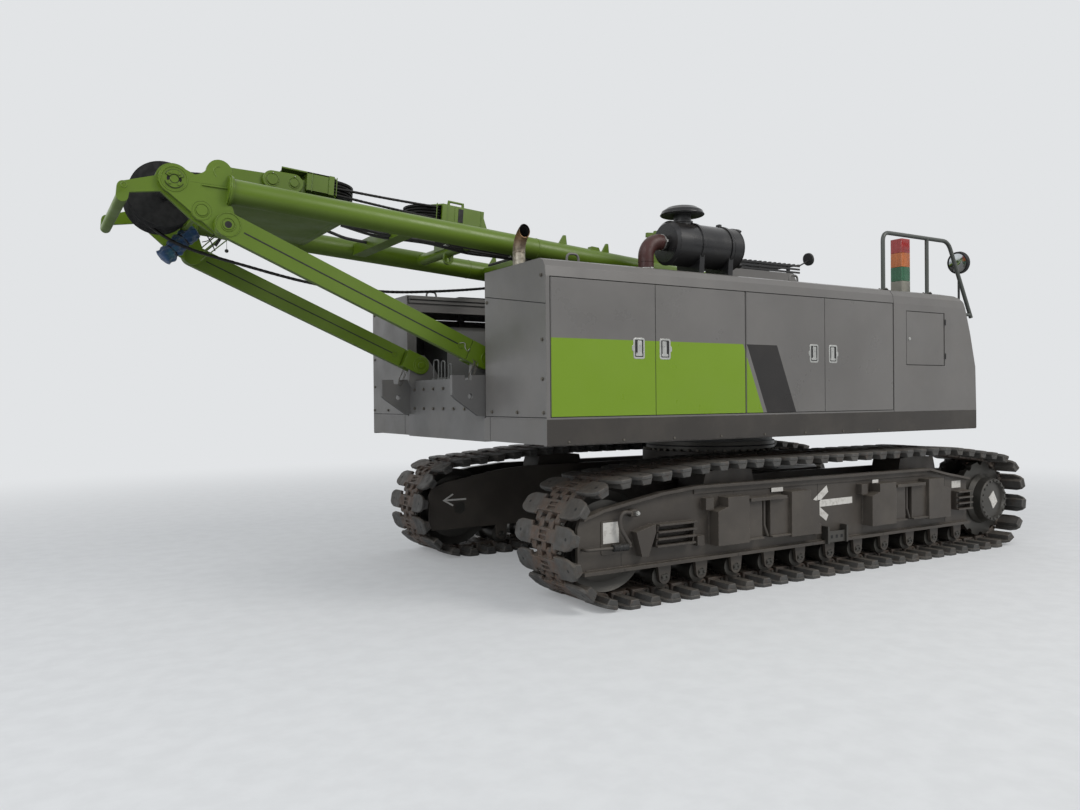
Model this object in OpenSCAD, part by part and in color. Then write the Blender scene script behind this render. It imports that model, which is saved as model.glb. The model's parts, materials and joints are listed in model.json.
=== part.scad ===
// Crawler crane: the base machine on retracted tracks, with its mast laid back over the rear.
// +X points forward, +Y to the machine's left and +Z up, with Z = 0 on the ground.
// Places along X are first measured from the slewing axis. slew_x then moves the whole so that
// the origin lies on the ground under the middle of the machine.

/* [Tracks] */
// Width over both tracks
track_over_w = 3350; // [3200:10:3600]
// Width of one shoe
shoe_w = 800; // [700:10:850]
// Distance between the idler and sprocket axes
tumbler_base = 4690; // [4500:10:4900]
// Height of the idler and sprocket axes
tumbler_z = 470; // [450:5:500]
// Thickness of a shoe with its lug
shoe_t = 85; // [75:5:95]
// Thickness of the links between the lugs
link_t = 35; // [25:5:45]
// Wanted distance from shoe to shoe
shoe_pitch = 192; // [180:1:210]
// Length of the free lug at each end of a shoe
shoe_end = 110; // [60:10:140]
// Height of the top run over its skids
top_run_z = 1030; // [1010:5:1060]
// Place of the rear skid's middle from the slewing axis
skid_rear_x = -1100; // [-1300:10:-900]
// Place of the front skid's middle from the slewing axis
skid_front_x = 1350; // [1150:10:1500]
// Length of a skid's flat top
skid_l = 520; // [400:10:600]
// Number of bottom rollers on a side
roller_n = 11; // [9:1:12]
// Radius of a bottom roller's tread
roller_r = 85; // [75:5:95]
// Place of the rearmost bottom roller from the slewing axis
roller_rear_x = -1880; // [-1900:10:-1800]
// Place of the foremost bottom roller from the slewing axis
roller_front_x = 1800; // [1700:10:1850]

/* [Track frames] */
// Distance of a frame's outer plate from the shoes' ends
frame_inset = 130; // [110:5:150]
// Width of the flanges that stand out from the outer plate
flange_w = 45; // [30:5:60]
// Thickness of the frames' side plates
frame_t = 30; // [20:2:40]
// Height of the frames' lower edge
frame_z = 270; // [250:5:290]
// Length of each step box group
step_l = 1140; // [1100:10:1200]
// Height of the step boxes
step_h = 370; // [340:10:400]
// Depth of the step boxes
step_d = 110; // [90:5:120]
// Length of a group's tall end boxes
step_end_l = 330; // [300:5:350]
// Width of the gap with the rod between the low boxes
step_gap = 93; // [80:1:120]
// Size of the notch in a tall box's outer top corner
step_notch = 105; // [80:5:120]

/* [Carbody] */
// Length of the carbody between the cross beams' outer faces
carbody_l = 2100; // [1900:10:2300]
// Width of the carbody's centre box
carbody_w = 1500; // [1300:10:1600]
// Height of the carbody's top plate
carbody_z = 1010; // [990:5:1040]
// Height of a cross beam's section
beam_h = 380; // [320:10:420]
// Length of a cross beam's section
beam_l = 340; // [280:10:380]
// Radius of the slewing ring
ring_r = 640; // [560:10:690]

/* [Upper frame] */
// Height of the decks' lower edge
deck_z = 1208; // [1200:2:1220]
// Height of the decks' skirts
deck_h = 174; // [150:2:200]
// Distance of the upper frame's rear plate behind the slewing axis
rear_x = 2979; // [2900:1:3050]
// Distance from the middle to a main plate's outer face
plate_y = 740; // [720:5:750]
// Thickness of the main plates
plate_t = 38; // [30:1:40]
// Reach of the counterweight brackets behind the rear plate
bracket_l = 271; // [240:1:300]
// Radius of the counterweight pin's bore
bracket_r = 22; // [18:1:26]
// Place of the boom foot's bore before the slewing axis
boom_x = 1360; // [1300:10:1400]
// Height of the boom foot's bore
boom_z = 1560; // [1520:10:1600]
// Radius of the boom foot's bore
boom_r = 45; // [35:1:55]
// Radius of a winch drum
drum_r = 180; // [150:5:200]

/* [Houses] */
// Half of the width over both houses
house_y = 1647; // [1600:1:1660]
// Height of the houses' roofs
roof_z = 2490; // [2440:5:2540]
// Thickness of the houses' walls and doors
wall_t = 30; // [24:1:40]
// Gap round a door
door_gap = 6; // [5:0.5:8]
// Width of one door with its gap
door_w = 914; // [880:2:920]
// Height of the doors' lower edge
door_z = 1400; // [1396:1:1410]
// Height of the doors' upper edge
door_top = 2355; // [2300:5:2370]
// Distance of the right house's front before the slewing axis
house_front = 1968; // [1900:2:2000]
// Distance of the left house's front before the slewing axis
left_front = 950; // [900:10:980]

/* [Cab] */
// Rear of the cab before the slewing axis
cab_x = 1050; // [1020:10:1100]
// Length of the cab
cab_l = 1400; // [1300:10:1500]
// Height of the cab's floor
cab_z = 1250; // [1240:2:1270]
// Height of the cab's roof
cab_top = 3040; // [3000:10:3100]
// Height of the slatted guard over the cab's roof
guard_h = 120; // [90:5:150]
// Distance from the middle to the cab's inner wall
cab_in = 790; // [780:5:820]
// Thickness of the cab's walls and door
cab_t = 40; // [30:1:50]
// Thickness of the cab's panes
glass_t = 6; // [4:1:10]

/* [Mast] */
// Place of the mast's foot pin before the slewing axis
mast_x = 1150; // [1100:10:1200]
// Height of the mast's foot pin
mast_z = 2462; // [2440:1:2480]
// Slope at which the mast lies
mast_tilt = 4.494; // [4.2:0.05:4.9]
// Distance from the foot pin to the tubes' head end
tube_l = 6000; // [5900:10:6100]
// Radius of a mast tube
tube_r = 85; // [75:1:90]
// Distance from the middle to a mast tube's axis
tube_y = 610; // [600:5:610]
// Thickness of the head's cheeks
cheek_t = 40; // [30:1:40]
// Radius of the head sheaves
sheave_r = 225; // [200:5:240]
// Number of head sheaves
sheave_n = 6; // [4:1:8]
// Radius of the mast's pins
pin_r = 30; // [24:1:36]
// Radius of the rope blocks' flat sheaves
flat_r = 220; // [200:5:225]
// Number of flat sheaves in a rope block
flat_n = 5; // [4:1:6]
// Thickness of a flat sheave
flat_t = 20; // [16:1:22]

/* [Legs] */
// Place of the legs' lower pin behind the slewing axis
leg_x = 2930; // [2900:5:2950]
// Height of the legs' lower pin
leg_z = 1840; // [1800:5:1880]
// Depth of a leg's outer bar
leg_h = 165; // [140:5:180]
// Thickness of a leg
leg_t = 60; // [50:2:60]

/* [Roof] */
// Radius of the air cleaner
cleaner_r = 175; // [150:5:190]
// Length of the air cleaner
cleaner_l = 740; // [650:10:800]
// Radius of the intake elbow
elbow_r = 62; // [50:2:75]
// Radius of the exhaust pipe
exhaust_r = 58; // [48:2:65]
// Side of the lamp tower
lamp_w = 130; // [110:2:150]
// Radius of the handrail's tube
rail_r = 19; // [15:1:22]

/* [Hidden] */

LIME = [0.44, 0.58, 0.14];
GREY = [0.42, 0.41, 0.40];
DARK = [0.24, 0.22, 0.20];
IRON = [0.16, 0.15, 0.15];
RUST = [0.45, 0.20, 0.16];
PANE = [0.45, 0.55, 0.60];

// Gap between pieces of one body that only look as if they touch
touch = 0.3;
// Radial clearance of a pin in its bore
fit = 0.1;
// Radius of a door's hinge pins and how far they reach into the frame
hinge_r = 6;
hinge_in = 8;
// Clearance between lanes in which moving pieces pass each other
lane = 5;
eps = 1;

track_y = (track_over_w - shoe_w) / 2;
half_base = tumbler_base / 2;
rail_tumbler_r = tumbler_z - shoe_t;
rail_top_z = top_run_z - shoe_t;

// Places on the mast, from its foot towards the head (u) and across it (w)
leg_pin_u = tube_l - 8;
leg_pin_w = -243;
sheave_u = tube_l + 330;
sheave_w = 7;
ear_u = tube_l + 76;
ear_w = 71;
boss_u = tube_l + 150;
boss_w = -165;
arm_u = tube_l + 617;
arm_w = -90;
tail_u = tube_l + 620;
tail_w = -150;
tail_r = 36;
// Place of the cross tube's rear side, which is the machine's rearmost point
tail_reach = -(mast_x - tail_u * cos(mast_tilt) + tail_w * sin(mast_tilt)) + tail_r;

cheek_y = plate_y - plate_t - lane - leg_t - lane - cheek_t;
leg_y = cheek_y + cheek_t + lane;
house_in = plate_y + 25;

module at_origin() {
    translate([slew_x, 0, 0]) children();
}

// A profile in the XZ plane, from y0 to y1
module along_y(y0, y1) {
    translate([0, y1, 0]) rotate([90, 0, 0]) linear_extrude(y1 - y0) children();
}

// A profile in the YZ plane, from x0 to x1
module along_x(x0, x1) {
    translate([x0, 0, 0]) rotate([90, 0, 90]) linear_extrude(x1 - x0) children();
}

// A box between two corners
module block(a, b) {
    translate(a) cube(b - a);
}

// A round bar along Y at x, z
module bar_y(x, z, y0, y1, r) {
    along_y(y0, y1) translate([x, z]) circle(r, $fn = 64);
}

// The shape and its mirror image on the other side
module both() {
    children();
    mirror([0, 1, 0]) children();
}

// side is 1 on the left and -1 on the right
module on_side(side) {
    if (side > 0) children();
    else mirror([0, 1, 0]) children();
}

// The rail line of a track, inside its shoes: straights and arcs, each [kind, length, data...]
function to_skid(c, p, r, turn) = atan2(p[1] - c[1], p[0] - c[0]) - turn * acos(r / norm(p - c));
front_c = [half_base, tumbler_z];
rear_c = [-half_base, tumbler_z];
skid_f = [skid_front_x + skid_l / 2, rail_top_z];
skid_b = [skid_rear_x - skid_l / 2, rail_top_z];
front_a = to_skid(front_c, skid_f, rail_tumbler_r, 1);
rear_a = to_skid(rear_c, skid_b, rail_tumbler_r, -1);
function on_arc(c, r, a) = c + r * [cos(a), sin(a)];
function line(a, b) = ["line", norm(b - a), a, b];
function arc(c, r, a, b) = ["arc", r * (b - a) * PI / 180, c, r, a];
rail = [
    line(on_arc(rear_c, rail_tumbler_r, -90), on_arc(front_c, rail_tumbler_r, -90)),
    arc(front_c, rail_tumbler_r, -90, front_a),
    line(on_arc(front_c, rail_tumbler_r, front_a), skid_f),
    line(skid_f, skid_b),
    line(skid_b, on_arc(rear_c, rail_tumbler_r, rear_a)),
    arc(rear_c, rail_tumbler_r, rear_a, 270)];
function total(v, i = 0) = i == len(v) ? 0 : v[i][1] + total(v, i + 1);
rail_l = total(rail);
shoe_n = round(rail_l / shoe_pitch);
pitch = rail_l / shoe_n;

// The point at distance s along the rail line and h outside it
function offset_from(g, s, h) =
    g[0] == "line"
        ? let (d = (g[3] - g[2]) / g[1]) g[2] + s * d + h * [d[1], -d[0]]
        : on_arc(g[2], g[3] + h, g[4] + s / g[3] * 180 / PI);
function rail_point(s, h, i = 0) =
    s <= rail[i][1] || i == len(rail) - 1
        ? offset_from(rail[i], s, h)
        : rail_point(s - rail[i][1], h, i + 1);

// One shoe's outline: share of the pitch and share of the lug's height over the link
shoe_profile = [[0.12, 0], [0.17, 0.8], [0.26, 1], [0.56, 1], [0.65, 0.8], [0.70, 0]];
function lug_points(k) = [for (p = shoe_profile) rail_point((k + p[0]) * pitch,
    link_t + p[1] * (shoe_t - link_t))];
link_outline = [for (k = [0 : shoe_n - 1]) each lug_points(k)];
rail_outline = [for (k = [0 : shoe_n - 1]) rail_point(k * pitch, 0)];
track_reach = max([for (p = link_outline) p[0]]);
// The links lie as chords round the tumblers
wheel_r = rail_tumbler_r * cos(pitch / rail_tumbler_r * 90 / PI) - touch;
slew_x = (tail_reach - track_reach) / 2;

module track(side) {
    color(IRON) at_origin() on_side(side) {
        along_y(track_y - shoe_w / 2 + shoe_end, track_y + shoe_w / 2 - shoe_end) difference() {
            polygon(link_outline);
            polygon(rail_outline);
        }
        for (y = [track_y - shoe_w / 2, track_y + shoe_w / 2 - shoe_end])
            along_y(y, y + shoe_end)
                for (k = [0 : shoe_n - 1]) polygon(lug_points(k));
    }
}

frame_out = track_y + shoe_w / 2 - frame_inset;
frame_in = track_y - shoe_w / 2 + frame_inset;
frame_top = rail_top_z - 100;
tumbler_gap = rail_tumbler_r + 25;
skid_drop = 16;
roller_z = shoe_t + roller_r + touch;
// Radius of the tabs that hold the rollers' axles
cap_r = 52;
roller_step = (roller_front_x - roller_rear_x) / (roller_n - 1);
function roller_x(k) = roller_rear_x + k * roller_step;

// A frame's side plate reaches over the idler at the rear and stops before the sprocket
rear_end = half_base + rail_tumbler_r - 60;
front_end = half_base - 395;
// Its rear corners are cut back to clear the links round the idler
rear_cut = 30;
// Top edge of the side plates, from the sprocket back to the idler
frame_edge = [[front_end, frame_top - 128], [skid_f[0] - 20, frame_top - 66],
    [skid_f[0] - 290, frame_top - 8], [-1590, frame_top], [-1940, frame_top - 30],
    [-2460, frame_top - 115], [rear_cut - rear_end, frame_top - 167]];
frame_plate = concat([[-rear_end, frame_z + 60], [rear_cut - rear_end, frame_z - 5],
    [front_end, frame_z - 5]], frame_edge, [[-rear_end, frame_top - 245]]);
// A doubler and a flange run along the outer plate's top edge
function lowered(edge, d) = [for (p = edge) p - [0, d]];
function band(edge, d) = concat(edge, [for (k = [len(edge) - 1 : -1 : 0]) edge[k] - [0, d]]);
doubler = [for (k = [2 : 3]) frame_edge[k]];
skid_foot = 60;

// Rungs between two side plates that lean like the side of the frame
module rungs(x0, x1, lean, z0, z1, n) {
    rung_d = step_d * 0.75;
    y = frame_out - eps;
    for (k = [0 : n - 1]) {
        z = z0 + k * (z1 - z0 - 14) / (n - 1);
        a = lean * k / (n - 1);
        block([x0 + a, y, z], [x1 + a, y + rung_d + eps, z + 14]);
    }
    for (x = [x0, x1 - 12])
        along_y(y, y + rung_d * 0.7) polygon([[x, z0], [x + 12, z0], [x + 12 + lean, z1], [x + lean, z1]]);
}

// What the outer plate carries beside the step boxes: rungs at both ends, hooks and a towing bracket
module frame_fittings() {
    y = frame_out - eps;
    rungs(-2010, -1640, 20, frame_z + 145, frame_z + 315, 4);
    rungs(front_end - 240, front_end - 10, 0, frame_z + 145, frame_z + 325, 4);
    along_y(y, frame_out + 75) polygon([[-2200, 545], [-2020, 590], [-2020, 530], [-2090, 360], [-2150, 360]]);
    for (x = step_xs) {
        block([x - step_l / 2 - 80, y, step_mid_z + step_h / 2 - 90], [x - step_l / 2 - touch, frame_out + 60,
            step_mid_z + step_h / 2]);
        block([x + step_l / 2 + 15, y, step_mid_z - step_h / 2 - 20], [x + step_l / 2 + 90, frame_out + 50,
            step_mid_z - step_h / 2 + 70]);
    }
    block([-1590, y, 385], [-1520, frame_out + 45, 460]);
}

module track_frame(side) {
    color(DARK) at_origin() on_side(side) difference() {
        union() {
            for (y = [frame_in, frame_out - frame_t])
                along_y(y, y + frame_t) polygon(frame_plate);
            // The inner plate reaches on to carry the sprocket's drive
            along_y(frame_in, frame_in + frame_t) {
                polygon([[half_base - 400, frame_z + 30], [half_base, tumbler_z - 190],
                    [half_base, tumbler_z + 190], [half_base - 400, frame_top - 200]]);
                translate([half_base, tumbler_z]) circle(190, $fn = 64);
            }
            block([-half_base + tumbler_gap, frame_in + frame_t, frame_z + 20],
                [half_base - tumbler_gap, frame_out - frame_t, frame_top - 150]);
            // The skids that carry the top run, chamfered where the links turn down as chords
            for (x = [skid_rear_x, skid_front_x])
                along_y(track_y - 150, track_y + 150) polygon([
                    [x - skid_l / 2 - skid_foot, frame_top - 160], [x + skid_l / 2 + skid_foot, frame_top - 160],
                    [x + skid_l / 2 - 10, rail_top_z - skid_drop], [x + skid_l / 2 - pitch, rail_top_z - touch],
                    [x - skid_l / 2 + pitch, rail_top_z - touch], [x - skid_l / 2 + 10, rail_top_z - skid_drop]]);
            // The flanges along the outer plate's edges
            along_y(frame_out - eps, frame_out + flange_w) polygon(band(frame_edge, 22));
            along_y(frame_out - eps, frame_out + 12) polygon(band(lowered(doubler, 20), 45));
            block([rear_cut - rear_end, frame_out - eps, frame_z - 5],
                [front_end, frame_out + flange_w, frame_z + 20]);
            // The caps that hold the rollers' axles, each a tab with a rounded end
            for (k = [0 : roller_n - 1], y = [frame_in, frame_out - frame_t])
                along_y(y, y + frame_t) translate([roller_x(k), roller_z]) {
                    circle(cap_r, $fn = 48);
                    polygon([[-cap_r, 0], [cap_r, 0], [cap_r + 12, frame_z - roller_z],
                        [-cap_r - 12, frame_z - roller_z]]);
                }
            frame_fittings();
        }
        for (k = [0 : roller_n - 1])
            bar_y(roller_x(k), roller_z, frame_in - eps, frame_out + eps, 30 + touch);
        bar_y(-half_base, tumbler_z, frame_in - eps, frame_out + eps, 60 + touch);
    }
}

// Two treads with a waist for the guide lugs, on an axle that the caps hold
module roller(x) {
    w = frame_out - frame_in - 2 * frame_t - 10;
    translate([x, track_y, roller_z]) rotate([90, 0, 0]) rotate_extrude($fn = 64) polygon([
        [0, -w / 2 - frame_t], [30, -w / 2 - frame_t], [30, -w / 2], [roller_r, -w / 2 + 10],
        [roller_r, -w / 6], [roller_r - 28, -w / 8], [roller_r - 28, w / 8], [roller_r, w / 6],
        [roller_r, w / 2 - 10], [30, w / 2], [30, w / 2 + frame_t], [0, w / 2 + frame_t]]);
}

module rollers(side) {
    color(IRON) at_origin() on_side(side)
        for (k = [0 : roller_n - 1]) roller(roller_x(k));
}

module idler(side) {
    w = frame_out - frame_in - 2 * frame_t - 40;
    r = wheel_r;
    color(IRON) at_origin() on_side(side) {
        translate([-half_base, track_y, tumbler_z]) rotate([90, 0, 0]) rotate_extrude($fn = 96) polygon([
            [0, -w / 2], [110, -w / 2], [140, -w / 2 + 60], [r - 70, -w / 2 + 90], [r, -w / 2 + 60],
            [r, -w / 7], [r - 40, -w / 9], [r - 40, w / 9], [r, w / 7], [r, w / 2 - 60],
            [r - 70, w / 2 - 90], [140, w / 2 - 60], [110, w / 2], [0, w / 2]]);
        bar_y(-half_base, tumbler_z, frame_in, frame_out, 60);
    }
}

sprocket_teeth = 12;
// Reach of the drive's cover outside the sprocket's toothed rims
hub_out = 110;

module sprocket(side) {
    w = frame_out - frame_in - 2 * frame_t - 60;
    r = wheel_r;
    color(IRON) at_origin() on_side(side) translate([half_base, track_y, tumbler_z]) rotate([90, 0, 0]) {
        for (s = [-1, 1])
            translate([0, 0, s * w / 3 - 35]) linear_extrude(70) difference() {
                circle(r, $fn = 96);
                for (k = [0 : sprocket_teeth - 1])
                    rotate(k * 360 / sprocket_teeth) translate([r + 10, 0]) circle(42, $fn = 32);
            }
        rotate_extrude($fn = 96) polygon([[0, -w / 2 - hub_out + 12], [60, -w / 2 - hub_out + 12],
            [150, -w / 2 - hub_out + 22], [172, -w / 2 - hub_out + 22], [180, -w / 2 - hub_out],
            [206, -w / 2 - hub_out], [214, -w / 2 - hub_out + 12], [222, -w / 2 - 20],
            [250, -w / 2 + 20], [250, w / 2], [180, w / 2 + 30 - touch], [0, w / 2 + 30 - touch]]);
    }
}

// A step group: two tall boxes with a notched corner, two low ones with a lip, the rod in the
// gap between these and the shelf above them
step_mid_z = frame_z + 105 + step_h / 2;
step_xs = [-863, 962];

// A box's side view with the notch towards s
function tall_box(x, s) = [[x, 0], [x - s * step_end_l, 0], [x - s * step_end_l, step_h],
    [x - s * step_notch, step_h], [x - s * step_notch, step_h - step_notch * 0.7], [x, step_h - step_notch]];

module step_group(x) {
    y = frame_out + flange_w + touch;
    d = step_d - flange_w;
    low_h = step_h - 48;
    low_l = (step_l - 2 * step_end_l - step_gap) / 2;
    split = -low_l * 0.12;
    // The boxes' bodies reach back between the flanges
    back = frame_out + touch - y;
    translate([x, y, step_mid_z - step_h / 2]) {
        for (s = [-1, 1]) {
            along_y(back, d) polygon(tall_box(s * step_l / 2, s));
            inner = split + s * step_gap / 2;
            outer = s * (step_l / 2 - step_end_l + eps);
            block([min(inner, outer), back, 18], [max(inner, outer), d - 32, low_h]);
            // The lip under a low box
            block([min(inner, outer), back, 12], [max(inner, outer), d - 8, 26]);
        }
        // The back plate that joins the low boxes, the rod before it and the shelf
        block([split - step_gap / 2 - eps, back, 30], [split + step_gap / 2 + eps, back + 20, low_h]);
        block([-step_l / 2 + step_end_l + 15, back, low_h - eps],
            [step_l / 2 - step_end_l - 60, d + 6, low_h + 24]);
        translate([split - 12, 0, 0]) {
            translate([0, d - 45, 110]) cylinder(h = low_h - 105, r = 11, $fn = 32);
            translate([0, d - 45, 110]) sphere(12, $fn = 32);
            translate([0, d - 45, 110]) rotate([0, 155, 0]) cylinder(h = 95, r = 11, $fn = 32);
        }
    }
}

module step_boxes(side) {
    color(DARK) at_origin() on_side(side)
        for (x = step_xs) step_group(x);
}

beam_z = frame_z + 120;

module carbody() {
    l = carbody_l / 2;
    w = carbody_w / 2;
    color(DARK) at_origin() {
        for (x = [-l, l - beam_l])
            block([x, -frame_in + touch, beam_z], [x + beam_l, frame_in - touch, beam_z + beam_h]);
        // The centre box with chamfered corners rises to the ring
        translate([0, 0, beam_z]) linear_extrude(beam_h + 60) polygon([
            [l - 60, -w + 260], [l - 60, w - 260], [l - 320, w], [320 - l, w],
            [60 - l, w - 260], [60 - l, -w + 260], [320 - l, -w], [l - 320, -w]]);
        translate([0, 0, beam_z + beam_h]) cylinder(h = carbody_z - beam_z - beam_h, r = ring_r + 40, $fn = 96);
    }
}

module slewing_ring() {
    color(IRON) at_origin() translate([0, 0, carbody_z]) difference() {
        cylinder(h = 90, r = ring_r, $fn = 96);
        translate([0, 0, -eps]) cylinder(h = 90 + 2 * eps, r = ring_r - 110, $fn = 96);
    }
}

ring_top = carbody_z + 90;

// The main plate's outline, from the counterweight bracket to the boom foot
plate_outline = [
    [-rear_x, deck_z - 8], [-rear_x, 1400], [-rear_x - 51, 1400], [-rear_x - bracket_l + 30, 1530],
    [-rear_x - bracket_l, 1560], [-rear_x - bracket_l, 1710], [-rear_x - 166, 1710],
    [-rear_x - 160, 1672], [-rear_x - 110, 1672], [-rear_x - 104, 1710],
    [-rear_x + 200, 1720], [-1200, 1740], [0, 1850], [mast_x - 330, mast_z - 60],
    [mast_x - 90, mast_z + 80], [mast_x + 90, mast_z + 80], [mast_x + 200, mast_z - 120],
    [boom_x - 60, boom_z + 260], [boom_x + 110, boom_z + 60], [boom_x + 110, boom_z - 90],
    [boom_x - 60, deck_z - 8]];
// Height of the rear plate's folded top edge
rear_top = 1700;
winch_xs = [-2150, -1250, -350];
winch_z = 1620;
bracket_x = -rear_x - 120;
bracket_z = 1550;

module upper_frame() {
    color(GREY) at_origin() difference() {
        union() {
            both() {
                along_y(plate_y - plate_t, plate_y) polygon(plate_outline);
                // Boss plates at the boom foot and the inner lug of the mast's foot
                bar_y(boom_x, boom_z, plate_y - plate_t - 40, plate_y, 110);
                along_y(tube_y - 100, tube_y - 70) polygon([[mast_x - 300, 1500], [mast_x + 160, 1500],
                    [mast_x + 70, mast_z + 70], [mast_x - 70, mast_z + 70], [mast_x - 85, mast_z - 120]]);
                // The legs' ears
                along_y(cheek_y, cheek_y + cheek_t) polygon([[-rear_x, 1600], [-rear_x + 330, 1600],
                    [-leg_x + 90, leg_z + 40], [-leg_x + 40, leg_z + 90], [-leg_x - 40, leg_z + 90],
                    [-leg_x - 90, leg_z + 40], [-rear_x - 60, 1700]]);
            }
            block([-rear_x, -plate_y, deck_z - 8], [boom_x - 80, plate_y, deck_z + 22]);
            block([-rear_x, -plate_y, deck_z - 8], [-rear_x + plate_t, plate_y, rear_top]);
            block([-rear_x, -cheek_y - eps, rear_top - 22], [-rear_x + 130, cheek_y + eps, rear_top]);
            for (x = [-1700, -800, 250, 900])
                block([x, -plate_y + plate_t - eps, deck_z], [x + 25, plate_y - plate_t + eps, deck_z + 260]);
            block([mast_x - 220, -plate_y + plate_t - eps, 1500], [mast_x + 90, plate_y - plate_t + eps, 1530]);
            translate([0, 0, ring_top + touch]) cylinder(h = deck_z - 7 - ring_top, r = ring_r - 20, $fn = 96);
        }
        both() {
            bar_y(bracket_x, bracket_z, plate_y - plate_t - eps, plate_y + eps, bracket_r);
            bar_y(boom_x, boom_z, plate_y - plate_t - 41, plate_y + eps, boom_r);
            bar_y(mast_x, mast_z, tube_y - 101, plate_y + eps, pin_r + fit);
            bar_y(-leg_x, leg_z, cheek_y - eps, cheek_y + cheek_t + eps, pin_r + fit);
        }
    }
}

deck_top = deck_z + deck_h;

// A deck carries a house along its whole length
module deck(side, front) {
    color(DARK) at_origin() on_side(side) {
        block([-rear_x, plate_y + touch, deck_z], [front, house_y, deck_top - touch]);
        // A rolled lip along the skirt's lower edge
        block([-rear_x, house_y - 40, deck_z - 8], [front, house_y - 4, deck_z]);
    }
}

// The left deck goes on as the cab's platform
module deck_l() {
    deck(1, left_front);
    color(DARK) at_origin()
        block([left_front, plate_y + touch, deck_z], [cab_x + cab_l - 350, house_y - 60, cab_z - touch]);
}

// Section of a house, d inside its outer faces
function house_section(d) = [[house_in + d, deck_top + d], [house_y - d, deck_top + d],
    [house_y - d, roof_z - 130], [house_y - 8 - d, roof_z - 60], [house_y - 38 - d, roof_z - 14 - d / 2],
    [house_y - 80 - d, roof_z - d], [house_in + d, roof_z - d]];
// Side view of the right house with its raked nose
function nose_outline(d) = [[-rear_x + d, deck_top + d], [house_front - d, deck_top + d],
    [house_front - 12 - d, 1800], [house_front - 93 - d, 2118], [house_front - 189 - d, roof_z - 80 - d / 2],
    [house_front - 230 - d, roof_z - 38 - d], [house_front - 290 - d, roof_z - 15 - d],
    [house_front - 449 - d, roof_z - d], [-rear_x + d, roof_z - d]];
function box_outline(d, front) = [[-rear_x + d, deck_top + d], [front - d, deck_top + d],
    [front - d, roof_z - d], [-rear_x + d, roof_z - d]];

module house_solid(d, outline) {
    intersection() {
        along_x(-rear_x - 10, house_front + 10) polygon(house_section(d));
        along_y(house_in - 10, house_y + 10) polygon(outline);
    }
}

// Doors 1 to 4 from the rear: even ones hang on their front edge and odd ones on their rear edge
door_x0 = -rear_x + wall_t + door_gap;
function door_x(k) = door_x0 + (k - 1) * door_w;
doors_end = door_x(5);
flap_x0 = 895;
flap_x1 = 1460;
flap_z0 = 1810;
flap_z1 = 2295;

// A panel with a round hinge edge and a pin that stands out above and below it
module hinged_panel(x0, x1, z0, z1, y, t, rear) {
    xh = hinge_at(x0, x1, t, rear);
    translate([0, 0, z0]) linear_extrude(z1 - z0) {
        translate([xh, y - t / 2]) circle(t / 2, $fn = 48);
        polygon([[xh, y - t], [rear ? x1 : x0, y - t], [rear ? x1 : x0, y], [xh, y]]);
    }
    hinge_pin(xh, z0, z1, y, t, 0);
}

function hinge_at(x0, x1, t, rear) = rear ? x0 + t / 2 : x1 - t / 2;

module hinge_pin(xh, z0, z1, y, t, gap) {
    translate([xh, y - t / 2, z0 - door_gap - hinge_in - gap])
        cylinder(h = z1 - z0 + 2 * (door_gap + hinge_in + gap), r = hinge_r + gap, $fn = 32);
}

function door_end(k) = door_x(k) + door_w - door_gap;
function on_rear_edge(k) = k % 2 == 1;

module house_shell(outline_out, outline_in) {
    difference() {
        house_solid(0, outline_out);
        house_solid(wall_t, outline_in);
        block([door_x0 - door_gap, house_y - wall_t - eps, door_z - door_gap],
            [doors_end, house_y + eps, door_top + door_gap]);
        for (k = [1 : 4])
            hinge_pin(hinge_at(door_x(k), door_end(k), wall_t, on_rear_edge(k)), door_z, door_top,
                house_y, wall_t, fit);
    }
    // Posts behind the joints between the doors
    for (k = [2 : 4])
        block([door_x(k) - door_gap / 2 - 30, house_y - 2 * wall_t - lane - 25, deck_top + wall_t - eps],
            [door_x(k) - door_gap / 2 + 30, house_y - wall_t - lane, roof_z - wall_t + eps]);
}

module house_r() {
    color(GREY) at_origin() on_side(-1) difference() {
        house_shell(nose_outline(0), nose_outline(wall_t));
        block([flap_x0 - door_gap, house_y - wall_t - eps, flap_z0 - door_gap],
            [flap_x1 + door_gap, house_y + eps, flap_z1 + door_gap]);
        hinge_pin(hinge_at(flap_x0, flap_x1, wall_t, false), flap_z0, flap_z1, house_y, wall_t, fit);
    }
}

// The left house is open towards the channel, but for a post and the top beam
module house_l() {
    color(GREY) at_origin() difference() {
        house_shell(box_outline(0, left_front), box_outline(wall_t, left_front));
        for (x = [[-rear_x + 90, -1500], [-1420, 200], [280, left_front - 80]])
            block([x[0], house_in - eps, deck_top + 90], [x[1], house_in + wall_t + eps, roof_z - 150]);
    }
}

module door(side, k) {
    color(k < 3 && side < 0 ? LIME : GREY) at_origin() on_side(side)
        hinged_panel(door_x(k), door_end(k), door_z, door_top, house_y, wall_t, on_rear_edge(k));
}

module access_flap() {
    color(GREY) at_origin() on_side(-1)
        hinged_panel(flap_x0, flap_x1, flap_z0, flap_z1, house_y, wall_t, false);
}

floor_z = deck_top + wall_t;
engine_x = -2500;
engine_l = 1250;
engine_y = 900;
engine_w = 550;
engine_h = 738;

module engine_block() {
    color(IRON) at_origin()
        block([engine_x, -engine_y - engine_w, floor_z], [engine_x + engine_l, -engine_y, floor_z + engine_h]);
}

// The hydraulic tank and the fuel tank, each [rear end, length, inner side, width, height]
tanks = [[-2500, 800, 930, 550, 820], [-1100, 900, 1000, 450, 590]];
tank_chamfer = 40;

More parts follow.
